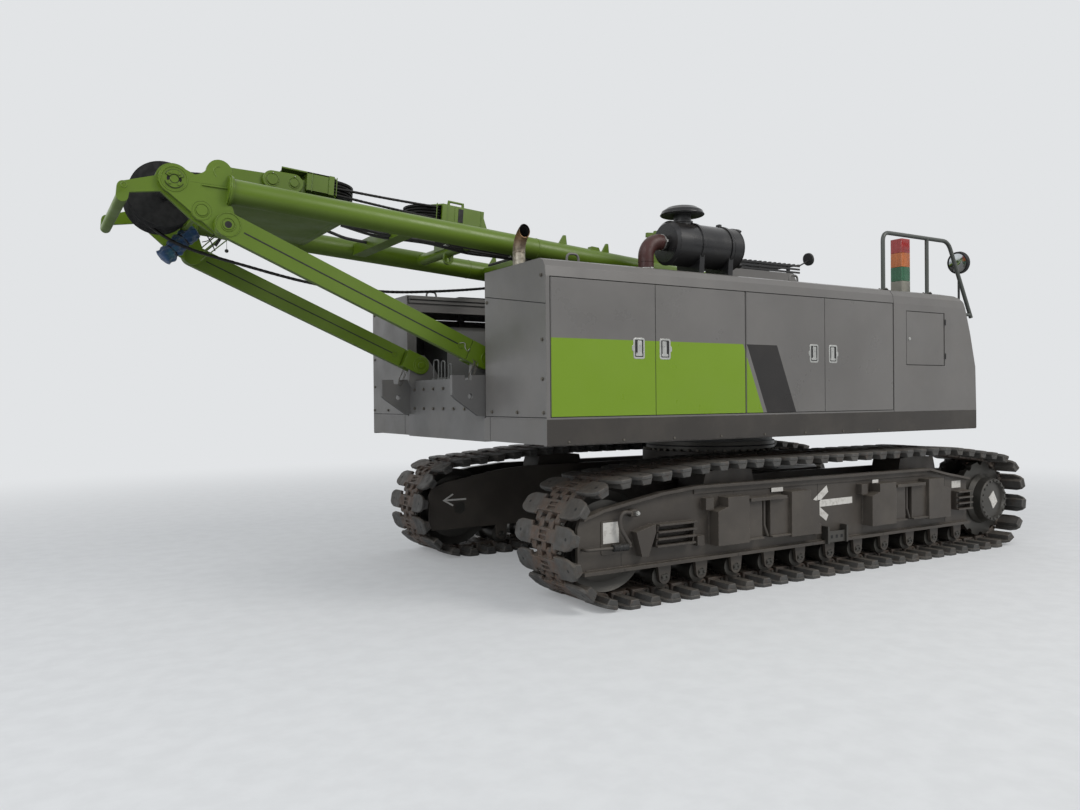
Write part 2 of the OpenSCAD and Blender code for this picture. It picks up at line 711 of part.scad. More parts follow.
module hydraulic_tank() {
    color(GREY) at_origin() for (t = tanks)
        along_x(t[0], t[0] + t[1]) polygon([[t[2], floor_z], [t[2] + t[3], floor_z],
            [t[2] + t[3], floor_z + t[4] - tank_chamfer], [t[2] + t[3] - tank_chamfer, floor_z + t[4]],
            [t[2] + tank_chamfer, floor_z + t[4]], [t[2], floor_z + t[4] - tank_chamfer]]);
}

// Drums with flanges on shafts between the main plates
module winches() {
    w = plate_y - plate_t - touch;
    color(IRON) at_origin()
        for (x = winch_xs)
            translate([x, 0, winch_z]) rotate([90, 0, 0]) rotate_extrude($fn = 64) polygon([
                [0, -w], [70, -w], [70, -w + 120], [drum_r + 110, -w + 130], [drum_r + 110, -w + 160],
                [drum_r, -w + 165], [drum_r, w - 165], [drum_r + 110, w - 160],
                [drum_r + 110, w - 130], [70, w - 120], [70, w], [0, w]]);
}

cab_front = cab_x + cab_l;
// Side view of the cab, d inside its outer faces
function cab_outline(d) = [[cab_x + d, cab_z + d], [cab_front - 260 - d, cab_z + d],
    [cab_front - 90 - d, cab_z + 250], [cab_front - d, cab_z + 620], [cab_front - 60 - d, cab_top - 560],
    [cab_front - 290 - d, cab_top - 60 - d / 2], [cab_front - 360 - d, cab_top - d],
    [cab_x + 60 + d, cab_top - d], [cab_x + d, cab_top - 60 - d]];
// Side windows and the door, as outlines in XZ
function side_window() = [[cab_x + 120, cab_z + 780], [cab_front - 170, cab_z + 700],
    [cab_front - 190, cab_top - 560], [cab_front - 340, cab_top - 190], [cab_x + 120, cab_top - 190]];
cab_door_x0 = cab_x + 110;
cab_door_x1 = cab_front - 330;
cab_door_z0 = cab_z + 90;
cab_door_z1 = cab_top - 120;
function door_window(d) = [[cab_door_x0 + 90 + d, cab_z + 800 + d], [cab_door_x1 - 90 - d, cab_z + 800 + d],
    [cab_door_x1 - 90 - d, cab_top - 210 - d], [cab_door_x0 + 90 + d, cab_top - 210 - d]];

module cab_solid(d) {
    along_y(cab_in + d, house_y - d) polygon(cab_outline(d));
}

front_win_y = [cab_in + 110, house_y - 110];

module cab_openings() {
    along_y(cab_in - eps, cab_in + cab_t + eps) polygon(side_window());
    block([cab_door_x0 - door_gap, house_y - cab_t - eps, cab_door_z0 - door_gap],
        [cab_door_x1 + door_gap, house_y + eps, cab_door_z1 + door_gap]);
    // Windscreen, lower front window, rear window and roof window
    block([cab_front - 420, front_win_y[0], cab_z + 700], [cab_front + eps, front_win_y[1], cab_top - 230]);
    block([cab_front - 260, front_win_y[0], cab_z + 280], [cab_front + eps, front_win_y[1], cab_z + 590]);
    block([cab_x - eps, front_win_y[0], cab_z + 1000], [cab_x + cab_t + eps, front_win_y[1], cab_top - 200]);
}

module cab_shell() {
    color(GREY) at_origin() difference() {
        cab_solid(0);
        cab_solid(cab_t);
        cab_openings();
        hinge_pin(hinge_at(cab_door_x0, cab_door_x1, cab_t, true), cab_door_z0, cab_door_z1,
            house_y, cab_t, fit);
    }
}

module cab_door() {
    color(GREY) at_origin() difference() {
        hinged_panel(cab_door_x0, cab_door_x1, cab_door_z0, cab_door_z1, house_y, cab_t, true);
        along_y(house_y - cab_t - eps, house_y + eps) polygon(door_window(0));
    }
}

// The panes stand in the middle of the walls, each a touch smaller than its opening
module cab_glass() {
    m = cab_t / 2;
    color(PANE) at_origin() {
        intersection() {
            difference() {
                cab_solid(m);
                cab_solid(m + glass_t);
            }
            union() {
                block([cab_front - 420 + touch, front_win_y[0] + touch, cab_z + 700 + touch],
                    [cab_front, front_win_y[1] - touch, cab_top - 230 - touch]);
                block([cab_front - 260 + touch, front_win_y[0] + touch, cab_z + 280 + touch],
                    [cab_front, front_win_y[1] - touch, cab_z + 590 - touch]);
                block([cab_x, front_win_y[0] + touch, cab_z + 1000 + touch],
                    [cab_x + cab_t, front_win_y[1] - touch, cab_top - 200 - touch]);
            }
        }
        along_y(cab_in + m, cab_in + m + glass_t) polygon([for (p = side_window())
            [p[0] + (p[0] < cab_x + 200 ? touch : -touch), p[1] + (p[1] < cab_z + 900 ? touch : -touch)]]);
    }
}

seat_x = cab_x + 420;
seat_y = (cab_in + house_y) / 2;

module cab_seat() {
    color(IRON) at_origin() translate([seat_x, seat_y, cab_z + cab_t]) {
        block([-200, -180, 0], [200, 180, 300]);
        block([-250, -240, 300], [250, 240, 420]);
        along_y(-230, 230) polygon([[-250, 420], [-130, 420], [-190, 1080], [-290, 1080]]);
        for (s = [-1, 1])
            block([-60, s * 310 - 70, 0], [420, s * 310 + 70, 560]);
    }
}

guard_x0 = cab_x + 20;
guard_x1 = cab_front - 200;
guard_slats = 15;
slat_w = 30;
guard_step = (guard_x1 - guard_x0 - slat_w) / (guard_slats - 1);
guard_mirror_r = 78;

// A slatted guard over the cab's roof, with bars along its sides and a round mirror at its front
module cab_guard() {
    side_y = [cab_in + 10, house_y - 50];
    color(IRON) at_origin() {
        for (y = side_y) {
            for (k = [0, 1, 2])
                block([guard_x0, y, cab_top + 8 + k * guard_h / 3],
                    [guard_x1, y + 14, cab_top + 30 + k * guard_h / 3]);
            for (x = [guard_x0 + 30, (guard_x0 + cab_front - 400) / 2, cab_front - 400])
                block([x, y + 14 - eps, cab_top + touch], [x + 40, y + 40, cab_top + guard_h - 12]);
        }
        for (k = [0 : guard_slats - 1])
            block([guard_x0 + k * guard_step, side_y[0], cab_top + guard_h - 12 - eps],
                [guard_x0 + k * guard_step + slat_w, side_y[1] + 14, cab_top + guard_h]);
        for (y = side_y)
            block([guard_x0, y, cab_top + guard_h - 30], [guard_x1, y + 20, cab_top + guard_h - 11]);
        translate([0, side_y[0] + 10, 0]) {
            rod_xz([guard_x1 - 15, cab_top + guard_h - 20], [guard_x1 + 160, cab_top + guard_h + 60], 9);
            translate([guard_x1 + 165, 0, cab_top + guard_h + 80]) rotate([0, 78, 0])
                cylinder(h = 26, r = guard_mirror_r, center = true, $fn = 48);
        }
    }
}

exhaust_x = -2880;
exhaust_y = -1120;

module exhaust() {
    bend = 170;
    color(RUST) at_origin() translate([exhaust_x, exhaust_y, roof_z + touch]) difference() {
        union() {
            cylinder(h = 110, r = exhaust_r, $fn = 48);
            translate([0, -bend, 110]) rotate([90, 0, 90]) rotate_extrude(angle = 58, $fn = 64)
                translate([bend, 0]) circle(exhaust_r, $fn = 48);
        }
        translate([0, -bend, 110]) rotate([90, 0, 90]) rotate(30) rotate_extrude(angle = 29, $fn = 64)
            translate([bend, 0]) circle(exhaust_r - 6, $fn = 48);
    }
}

cleaner_x = -1560;
cleaner_y = -1200;
cleaner_z = roof_z + 110 + cleaner_r;

module air_cleaner() {
    cap_x = cleaner_x + 180;
    r = cleaner_r;
    color(IRON) at_origin() {
        translate([cleaner_x, cleaner_y, cleaner_z]) rotate([0, 90, 0]) rotate_extrude($fn = 96) polygon([
            [0, -30], [elbow_r, -30], [elbow_r, 0], [r - 20, 0], [r, 20], [r, 250], [r + 6, 252], [r + 6, 276],
            [r, 278], [r, cleaner_l - 170], [r + 6, cleaner_l - 168], [r + 6, cleaner_l - 150],
            [r, cleaner_l - 148], [r, cleaner_l - 30], [r - 40, cleaner_l], [0, cleaner_l]]);
        // The rain cap on its neck
        translate([cap_x, cleaner_y, cleaner_z + r - 20]) rotate_extrude($fn = 96) polygon([
            [0, 0], [70, 0], [70, 90], [170, 80], [178, 92], [165, 118], [120, 146], [60, 160], [0, 163]]);
        for (x = [cleaner_x + 265, cleaner_x + cleaner_l - 160])
            along_x(x - 25, x + 25) difference() {
                polygon([[cleaner_y - 130, roof_z + touch], [cleaner_y + 130, roof_z + touch],
                    [cleaner_y + 150, cleaner_z - 60], [cleaner_y - 150, cleaner_z - 60]]);
                translate([cleaner_y, cleaner_z]) circle(r - 5, $fn = 96);
            }
    }
}

module intake_elbow() {
    bend = 130;
    stub = 40;
    color(RUST) at_origin() translate([cleaner_x - 30 - touch, cleaner_y, cleaner_z]) {
        rotate([0, -90, 0]) cylinder(h = stub, r = elbow_r, $fn = 48);
        translate([-stub, 0, -bend]) rotate([90, 0, 0]) rotate(90) rotate_extrude(angle = 90, $fn = 64)
            translate([bend, 0]) circle(elbow_r, $fn = 48);
        translate([-stub - bend, 0, roof_z + touch - cleaner_z])
            cylinder(h = cleaner_z - bend - roof_z - touch, r = elbow_r, $fn = 48);
    }
}

lamp_x = 1250;
lamp_y = -1330;

module lamp_tower() {
    h = (3030 - roof_z) / 4;
    color(RUST) at_origin() for (k = [0 : 3])
        translate([lamp_x, lamp_y, roof_z + touch + k * h])
            block([-lamp_w / 2, -lamp_w / 2, 0], [lamp_w / 2, lamp_w / 2, h - touch]);
}

rail_y = house_y - 100;
rail_z = 3015;
rail_posts = [700, 1345];
rail_front = 1680;
// Slope of the rail's front leg below the horizontal, and its length
rail_fall = 63;
rail_leg = 810;

// A round bar between two points in the XZ plane
module rod_xz(a, b, r) {
    translate([a[0], 0, a[1]]) rotate([0, atan2(b[0] - a[0], b[1] - a[1]), 0])
        cylinder(h = norm(b - a), r = r, $fn = 32);
}

// The rail's front leg comes down before the nose, on a stay that runs back to it
module handrail() {
    corner = [rail_front, rail_z];
    fall = [cos(rail_fall), -sin(rail_fall)];
    stay = corner + (rail_leg - 30) * fall;
    color(GREY) at_origin() on_side(-1) translate([0, rail_y, 0]) {
        for (x = rail_posts) rod_xz([x, roof_z + touch], [x, rail_z], rail_r - 1);
        rod_xz([rail_posts[0], rail_z], corner, rail_r);
        rod_xz(corner, corner + rail_leg * fall, rail_r - 1);
        for (x = [rail_posts[0], rail_front]) translate([x, 0, rail_z]) sphere(rail_r + 2, $fn = 32);
        difference() {
            rod_xz([house_front - 250, stay[1]], stay, rail_r - 3);
            along_y(-60, 60) polygon(nose_outline(-touch));
        }
    }
}

mirror_x = house_front + 112;
mirror_y = 1400;
mirror_z = 2860;
mirror_head_r = 110;
mirror_foot_z = 2080;
mirror_arm_zs = [mirror_foot_z + 30, mirror_foot_z + 100];

module mirror_r() {
    color(IRON) at_origin() on_side(-1) difference() {
        translate([0, mirror_y, 0]) {
            rod_xz([mirror_x, mirror_foot_z], [mirror_x, mirror_z - 80], 11);
            for (z = mirror_arm_zs) rod_xz([house_front - 250, z], [mirror_x, z], 10);
            translate([mirror_x, 0, mirror_z]) rotate([0, 80, 0])
                cylinder(h = 40, r = mirror_head_r, center = true, $fn = 48);
        }
        house_solid(-touch, nose_outline(-touch));
    }
}

// The mast's own frame: -X runs from the foot pin to the head and Z across it
module on_mast() {
    translate([mast_x, 0, mast_z]) rotate([0, mast_tilt, 0]) children();
}

// A head cheek, drawn from the tube's end: its lobes are the pins' bosses
module cheek_outline() {
    translate([-tube_l, 0]) polygon([[10, 88], [-30, 110], [-110, 120], [-201, 59], [-300, 95], [-425, -20],
        [-400, -55], [-215, -185], [-150, -230], [-40, -305], [40, -315], [85, -230], [40, -110], [10, -88]]);
    for (boss = [[sheave_u, sheave_w, 95], [ear_u, ear_w, 60], [boss_u, boss_w, 67], [leg_pin_u, leg_pin_w, 84]])
        translate([-boss[0], boss[1]]) circle(boss[2], $fn = 64);
}

// A wider plate behind each cheek shows along its lower edge and carries the arm
rim = 16;
module cheek_rim() {
    for (boss = [[sheave_u, sheave_w, 95], [boss_u, boss_w, 67]])
        translate([-boss[0], boss[1]]) circle(boss[2] + rim, $fn = 64);
    translate([-tube_l, 0]) polygon([[-150, 60], [-330, 100], [-425, -30], [-407, -73], [-207, -225],
        [-187, -239], [-60, -300], [-60, -150]]);
}

// Radius of the head sheaves' shaft
shaft_r = 45;
// Half of the arm's height
arm_h = 38;
// Distance from the foot pin to the tubes' lower end
foot_l = 150;
// Cross members, measured back from the head; the last two carry the rope blocks
cross_us = [tube_l - 4500, tube_l - 3300, tube_l - 1920, tube_l - 800];
// A square brace between the last two
brace_u = tube_l - 1330;
seat_us = [cross_us[2], cross_us[3]];
// Height of the blocks' lower faces over the mast's middle plane
seat_ws = [172, 202];
// Fins on a tube's top: distance from the head, length, height and thickness
fins = [[2665, 84, 74, 20], [3100, 78, 74, 20], [2985, 96, 22, 60]];
// The tall plates that stand on the tubes before the roof's air cleaner
stand_u = tube_l - 3650;
stand_w = 375;

module mast_fittings() {
    for (f = fins)
        along_y(tube_y - f[3] / 2, tube_y + f[3] / 2) translate([-tube_l + f[0], tube_r - 12]) polygon([
            [-f[1] / 2, 0], [f[1] / 2, 0], [f[1] * 0.3, f[2] + 12],
            [f[3] > 40 ? -f[1] * 0.45 : f[1] * 0.05, f[2] + 12]]);
    along_y(tube_y - 12, tube_y + 12) polygon([[-stand_u - 85, tube_r - 12], [-stand_u + 85, tube_r - 12],
        [-stand_u + 85, stand_w], [-stand_u - 28, stand_w - 14], [-stand_u - 60, 200]]);
    along_y(tube_y - 12, tube_y + 12) polygon([[-stand_u - 115, stand_w - 45], [-stand_u - 25, stand_w - 32],
        [-stand_u - 25, stand_w - 75], [-stand_u - 115, stand_w - 85]]);
}

module mast() {
    color(LIME) at_origin() on_mast() difference() {
        union() {
            both() {
                // The tube with its foot lug and head collar
                translate([-tube_l, tube_y, 0]) rotate([0, 90, 0])
                    cylinder(h = tube_l - foot_l, r = tube_r, $fn = 64);
                translate([-tube_l, tube_y, 0]) rotate([0, 90, 0]) cylinder(h = 32, r = tube_r + 14, $fn = 64);
                along_y(tube_y - 40, tube_y + 40) {
                    circle(75, $fn = 64);
                    polygon([[-foot_l - 90, -tube_r + 15], [0, -75], [0, 75], [-foot_l - 90, tube_r - 15]]);
                }
                bar_y(0, 0, tube_y - 100, plate_y, pin_r);
                along_y(cheek_y, cheek_y + cheek_t) cheek_outline();
                mast_fittings();
                // The arm that carries the cross tube behind the sheaves
                along_y(cheek_y - 30, cheek_y) {
                    cheek_rim();
                    polygon([[-sheave_u, 60], [-arm_u, arm_w + arm_h], [-arm_u - 33, arm_w],
                        [-arm_u, arm_w - arm_h], [-sheave_u, -60]]);
                    translate([-arm_u, arm_w]) circle(arm_h, $fn = 48);
                    translate([-tail_u, tail_w]) circle(tail_r, $fn = 48);
                    polygon([[-tail_u - tail_r + 1, arm_w], [-tail_u - tail_r, tail_w],
                        [-tail_u + tail_r, tail_w], [-arm_u + arm_h, arm_w]]);
                }
            }
            for (u = cross_us) bar_y(-u, 0, -tube_y, tube_y, 50);
            block([-brace_u - 55, -tube_y, -60], [-brace_u + 55, tube_y, 40]);
            for (k = [0, 1]) block([-seat_us[k] - 60, -170, 0], [-seat_us[k] + 60, 170, seat_ws[k]]);
            // An eye under the cross member that carries the second block
            along_y(-15, 15) difference() {
                union() {
                    translate([-seat_us[0], -75]) circle(42, $fn = 48);
                    translate([-seat_us[0] - 42, -75]) square([84, 60]);
                }
                translate([-seat_us[0], -75]) circle(18, $fn = 32);
            }
            // The rope guard just clear of the sheaves, and the tail tube
            bar_y(-boss_u, boss_w, -cheek_y - eps, cheek_y + eps, norm([sheave_u - boss_u, sheave_w - boss_w])
                - sheave_r - lane);
            bar_y(-tail_u, tail_w, -cheek_y, cheek_y, tail_r);
        }
        // The head sheaves' shaft
        bar_y(-sheave_u, sheave_w, -cheek_y - cheek_t - eps, cheek_y + cheek_t + eps, shaft_r + fit);
    }
}

module head_sheaves() {
    n = sheave_n;
    w = 60;
    color(IRON) at_origin() on_mast() translate([-sheave_u, 0, sheave_w]) rotate([90, 0, 0]) {
        for (k = [0 : n - 1])
            translate([0, 0, (k - (n - 1) / 2) * w]) rotate_extrude($fn = 96) polygon([
                [0, -22], [sheave_r, -22], [sheave_r, -16], [sheave_r - 26, -5], [sheave_r - 26, 5],
                [sheave_r, 16], [sheave_r, 22], [0, 22]]);
        cylinder(h = 2 * (cheek_y + cheek_t) - 2, r = shaft_r, center = true, $fn = 48);
    }
}

// Flat sheaves of a block on their pin, with a groove round each
module flat_sheaves() {
    pitch_w = flat_t + 4;
    rotate_extrude($fn = 96) polygon(concat([[0, 0]], [for (k = [0 : flat_n - 1]) let (w = k * pitch_w + 2)
        each [[flat_r, w], [flat_r - 18, w + flat_t * 0.35], [flat_r - 18, w + flat_t * 0.65], [flat_r, w + flat_t],
            [flat_r - 60, w + flat_t + 1], [flat_r - 60, min(w + flat_t + 3, flat_n * pitch_w)]]],
        [[0, flat_n * pitch_w]]));
}

flat_h = flat_n * (flat_t + 4);
block_y = flat_r + 30;
block_t = 12;

// A housing open at the end where its sheaves show: s is 1 when that end faces the mast's foot.
// It starts at the sheaves' middle and is l long; its lower face lies on the mast's seat.
module block_housing(l, s) {
    rim_l = 40;
    mirror([s > 0 ? 0 : 1, 0, 0]) {
        for (w = [0, flat_h + block_t + 2 * touch])
            translate([0, 0, w]) linear_extrude(block_t)
                polygon([[-l, -block_y], [0, -block_y], [60, -block_y + 90], [60, block_y - 90],
                    [0, block_y], [-l, block_y]]);
        for (y = [-block_y, block_y - block_t])
            block([-l, y, 0], [0, y + block_t, flat_h + 2 * block_t]);
        // The sheaves reach through the end wall of a short housing
        slot_y = l > flat_r + block_t ? -eps : flat_r / 2;
        for (y = [[-block_y, -slot_y], [slot_y, block_y]])
            block([-l, y[0], 0], [-l + block_t, y[1], flat_h + 2 * block_t]);
        // A stiff rim at the open end
        for (y = [-block_y - 10, block_y])
            block([-rim_l, y - (y > 0 ? eps : 0), 0], [0, y + 10 + (y < 0 ? eps : 0), flat_h + 2 * block_t]);
    }
}

// Ends of the two blocks: the sheaves' middles, and the housings' lengths
head_block_u = seat_us[1] - 30;
head_block_l = 205;
foot_block_u = seat_us[0] + 194;
foot_block_l = 380;
link_pin_us = [head_block_u + head_block_l + 105, head_block_u + head_block_l + 255];
link_w = flat_h / 2 + block_t;
link_r = 62;

// The block near the head with its links: each a plate with two pins, and a bar on to the mast's ears
module rope_block() {
    color(LIME) at_origin() on_mast() {
        translate([-head_block_u, 0, seat_ws[1] + touch]) {
            block_housing(head_block_l, 1);
            // The top plate goes on over the links' ends
            translate([-head_block_l - 190, -block_y, flat_h + block_t + 2 * touch])
                cube([190 + eps, 2 * block_y, block_t]);
        }
        for (y = [-block_y, block_y - 26]) translate([0, 0, seat_ws[1] + touch + link_w]) {
            along_y(y, y + 26) {
                for (u = link_pin_us) translate([-u, 0]) circle(link_r, $fn = 48);
                polygon([[-link_pin_us[1], -link_r], [-link_pin_us[0], -link_r],
                    [-head_block_u - head_block_l + eps, -link_r * 0.8],
                    [-head_block_u - head_block_l + eps, link_r * 0.8],
                    [-link_pin_us[0], link_r], [-link_pin_us[1], link_r]]);
            }
            // The next link, inside the plate, rises a little towards the head
            along_y(y < 0 ? y + 26 + touch : y - 24 - touch, y < 0 ? y + 50 + touch : y - touch) polygon([
                [-link_pin_us[1] + 55, -50], [-link_pin_us[1] + 55, 50], [-tube_l + 15, 62], [-tube_l + 15, -40]]);
            for (u = link_pin_us) bar_y(-u, 0, y < 0 ? y - 8 : y + eps, y < 0 ? y + 26 - eps : y + 34, 34);
        }
    }
}

// The block near the foot, with a bent rod as its handle and a sloped end
module bridle_block() {
    color(LIME) at_origin() on_mast() translate([-foot_block_u, 0, seat_ws[0] + touch]) {
        block_housing(foot_block_l, -1);
        for (y = [-block_y, block_y - block_t])
            along_y(y, y + block_t) polygon([[foot_block_l - eps, 0], [foot_block_l + 40, 0],
                [foot_block_l - eps, flat_h * 0.8]]);
        for (x = [70, 190]) translate([x, -block_y + 25, flat_h + 2 * block_t - eps]) cylinder(h = 42, r = 8, $fn = 32);
        translate([60, -block_y + 25, flat_h + 2 * block_t + 34]) rotate([0, 90, 0]) cylinder(h = 140, r = 9, $fn = 32);
    }
}

// The rope blocks' sheaves, lying flat between the housings' plates
module block_sheaves() {
    color(IRON) at_origin() on_mast()
        for (b = [[head_block_u, seat_ws[1]], [foot_block_u, seat_ws[0]]])
            translate([-b[0], 0, b[1] + block_t + 2 * touch]) flat_sheaves();
}

leg_top = [mast_x - leg_pin_u * cos(mast_tilt) + leg_pin_w * sin(mast_tilt),
    mast_z + leg_pin_u * sin(mast_tilt) + leg_pin_w * cos(mast_tilt)];
leg_foot = [-leg_x, leg_z];
leg_l = norm(leg_top - leg_foot);
leg_a = atan2(leg_top[1] - leg_foot[1], leg_foot[0] - leg_top[0]);
leg_foot_l = 160;
sleeve_t = 14;
rod_gap = 1;
bar_h = leg_h - 44;

// The leg's own frame: -X runs from the lower pin to the upper one
module on_leg() {
    translate([leg_foot[0], 0, leg_foot[1]]) rotate([0, leg_a, 0]) children();
}

module leg_bars() {
    color(LIME) at_origin() on_leg() both() {
        along_y(leg_y, leg_y + leg_t) {
            circle(leg_h / 2, $fn = 64);
            polygon([[-leg_foot_l, -leg_h / 2], [0, -leg_h / 2], [0, leg_h / 2], [-leg_foot_l, leg_h / 2]]);
        }
        along_y(leg_y + sleeve_t, leg_y + leg_t - sleeve_t)
            polygon([[-leg_l + 150, -bar_h / 2], [-leg_foot_l + eps, -bar_h / 2],
                [-leg_foot_l + eps, bar_h / 2], [-leg_l + 150, bar_h / 2]]);
        bar_y(0, 0, cheek_y, leg_y + eps, pin_r);
    }
}

module leg_sleeves() {
    near = leg_foot_l + lane;
    color(LIME) at_origin() on_leg() both() difference() {
        along_y(leg_y, leg_y + leg_t) {
            translate([-leg_l, 0]) circle(leg_h / 2, $fn = 64);
            polygon([[-leg_l, -leg_h / 2], [-near, -leg_h / 2], [-near, leg_h / 2], [-leg_l, leg_h / 2]]);
        }
        block([-leg_l + 120, leg_y + sleeve_t - rod_gap, -bar_h / 2 - rod_gap],
            [-near + eps, leg_y + leg_t - sleeve_t + rod_gap, bar_h / 2 + rod_gap]);
        bar_y(-leg_l, 0, leg_y - eps, leg_y + leg_t + eps, pin_r + fit);
    }
}

carbody();
slewing_ring();
track_frame(-1);  // track_frame_r
track_frame(1);  // track_frame_l
track(-1);  // track_r
track(1);  // track_l
sprocket(-1);  // sprocket_r
sprocket(1);  // sprocket_l
idler(-1);  // idler_r
idler(1);  // idler_l
rollers(-1);  // rollers_r
rollers(1);  // rollers_l
step_boxes(-1);  // step_boxes_r
step_boxes(1);  // step_boxes_l
upper_frame();
deck(-1, house_front);  // deck_r
deck_l();
house_r();
house_l();
door(-1, 1);  // door_r1
door(-1, 2);  // door_r2
door(-1, 3);  // door_r3
door(-1, 4);  // door_r4
door(1, 1);  // door_l1
door(1, 2);  // door_l2
door(1, 3);  // door_l3
door(1, 4);  // door_l4
access_flap();
engine_block();
hydraulic_tank();
winches();
cab_shell();
cab_door();
cab_glass();
cab_seat();
cab_guard();
exhaust();
air_cleaner();
intake_elbow();
lamp_tower();
handrail();
mirror_r();
mast();
head_sheaves();
rope_block();
bridle_block();
block_sheaves();
leg_bars();
leg_sleeves();
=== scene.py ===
"""A crawler crane's base machine with its mast laid back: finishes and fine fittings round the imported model.

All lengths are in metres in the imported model's frame: +X forward, +Y to the machine's left, +Z up.
"""

import json
import math

import bpy
import bmesh
import numpy as np
from bpy.props import FloatProperty, FloatVectorProperty, PointerProperty
from mathutils import Matrix, Vector

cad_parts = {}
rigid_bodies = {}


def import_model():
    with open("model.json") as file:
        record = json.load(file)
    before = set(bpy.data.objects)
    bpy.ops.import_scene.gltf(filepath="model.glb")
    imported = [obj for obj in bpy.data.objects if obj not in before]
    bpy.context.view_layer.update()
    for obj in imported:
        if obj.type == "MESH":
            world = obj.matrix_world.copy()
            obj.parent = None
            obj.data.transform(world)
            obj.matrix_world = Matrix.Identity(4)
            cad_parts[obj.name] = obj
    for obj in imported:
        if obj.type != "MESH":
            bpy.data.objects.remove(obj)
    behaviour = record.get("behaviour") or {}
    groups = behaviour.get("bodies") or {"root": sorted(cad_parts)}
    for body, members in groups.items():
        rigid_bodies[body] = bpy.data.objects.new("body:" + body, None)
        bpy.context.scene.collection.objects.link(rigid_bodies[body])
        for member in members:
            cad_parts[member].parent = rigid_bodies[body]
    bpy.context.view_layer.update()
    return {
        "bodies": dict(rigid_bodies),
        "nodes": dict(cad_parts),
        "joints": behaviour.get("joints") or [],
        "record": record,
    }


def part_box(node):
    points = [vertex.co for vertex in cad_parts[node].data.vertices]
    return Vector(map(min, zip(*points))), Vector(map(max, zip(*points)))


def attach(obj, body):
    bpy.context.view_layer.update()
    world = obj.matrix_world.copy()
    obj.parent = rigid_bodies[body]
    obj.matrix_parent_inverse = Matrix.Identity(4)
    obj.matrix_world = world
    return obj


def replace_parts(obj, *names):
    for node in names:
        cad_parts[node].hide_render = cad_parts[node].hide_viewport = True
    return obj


bl_info = {
    "name": "Crawler Crane Finishes",
    "version": (1, 0, 0),
    "blender": (4, 5, 0),
    "location": "View3D > Sidebar > Crane",
    "description": "Builds the stage, the finishes and the fine fittings of a crawler crane",
    "category": "Object",
}

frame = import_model()
NODES = frame["nodes"]


def middle(node):
    """The middle of a node's box, as an array."""
    low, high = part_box(node)
    return (np.array(low) + np.array(high)) / 2


def joint_place(name):
    """The point on a joint's axis that the record gives."""
    return next(np.array(j["pos_m"]) for j in frame["joints"] if j["name"] == name)


# Places that the fittings are measured from
SLEW_X = joint_place("slewing")[0]
MAST_FOOT = joint_place("mast_hinge")
MAST_TILT = math.radians(4.494)
LEG_AXIS = next(j["axis"] for j in frame["joints"] if j["name"] == "leg_extension")
LEG_TILT = math.atan2(LEG_AXIS[2], -LEG_AXIS[0])
HOUSE_SIDE = -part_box("house_r")[0][1]
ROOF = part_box("house_r")[1][2]
TRACK_Y = abs(middle("track_r")[1])


def srgb(red, green, blue):
    """A colour given in display values from 0 to 255, as linear light."""
    display = np.array([red, green, blue]) / 255
    return tuple(np.where(display < 0.04045, display / 12.92, ((display + 0.055) / 1.055) ** 2.4))


# Sizes and colours that a user would change

def colour(name, text, value):
    """A colour property with its default given in display values."""
    return FloatVectorProperty(name=name, description=text, default=srgb(*value), size=3, min=0, max=1,
                               subtype="COLOR")


def length(name, text, value):
    """A length property in metres."""
    return FloatProperty(name=name, description=text, default=value, min=0.0005, soft_max=10, unit="LENGTH")


class CraneColours(bpy.types.PropertyGroup):
    """Base colours of the paints, the castings and the stage."""
    lime: colour("Lime", "Paint of the mast, its blocks and the legs", (90, 116, 14))
    field: colour("Lime field", "Film on the doors' lower rear", (116, 149, 22))
    stripe: colour("Stripe", "Slanted dark stripe on the doors", (31, 28, 27))
    panel: colour("Panel grey", "Paint of the houses, their doors and the cab", (107, 105, 103))
    frame: colour("Frame grey", "Paint of the main frame and its brackets", (104, 103, 102))
    skirt: colour("Skirt", "Dark paint of the decks' skirts", (51, 47, 43))
    chassis: colour("Chassis", "Dark paint of the undercarriage", (66, 61, 56))
    shoe: colour("Shoes", "Cast steel of the track shoes", (76, 76, 75))
    elbow: colour("Elbow", "Brick red silicone of the intake elbow", (60, 22, 18))
    stage: colour("Stage", "Floor and background", (226, 228, 230))


class CraneSizes(bpy.types.PropertyGroup):
    """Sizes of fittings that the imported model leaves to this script."""
    bolt: length("Bolt head", "Width over the flats of a common bolt head", 0.030)
    rope: length("Rope", "Diameter of the hoist ropes", 0.020)
    bead: length("Weld bead", "Radius of the larger weld beads", 0.007)


# Shader maths

class Value:
    """A node's output socket. Arithmetic on it adds Math nodes to its graph."""

    def __init__(self, graph, socket):
        self.graph = graph
        self.socket = socket

    def maths(self, operation, *terms):
        return self.graph.node("ShaderNodeMath", {"operation": operation}, dict(enumerate(terms)))

    def __add__(self, other):
        return self.maths("ADD", self, other)

    def __sub__(self, other):
        return self.maths("SUBTRACT", self, other)

    def __rsub__(self, other):
        return self.maths("SUBTRACT", other, self)

    def __mul__(self, other):
        return self.maths("MULTIPLY", self, other)

    def __gt__(self, other):
        return self.maths("GREATER_THAN", self, other)

    def __lt__(self, other):
        return self.maths("LESS_THAN", self, other)

    def __abs__(self):
        return self.maths("ABSOLUTE", self)

    __radd__ = __add__
    __rmul__ = __mul__

    def sine(self):
        return self.maths("SINE", self)

    def to(self, low, high, start=0.0, end=1.0):
        """Runs smoothly from start to end as the value goes from low to high."""
        values = {"Value": self, "From Min": low, "From Max": high, "To Min": start, "To Max": end}
        return self.graph.node("ShaderNodeMapRange", {"interpolation_type": "SMOOTHSTEP"}, values)


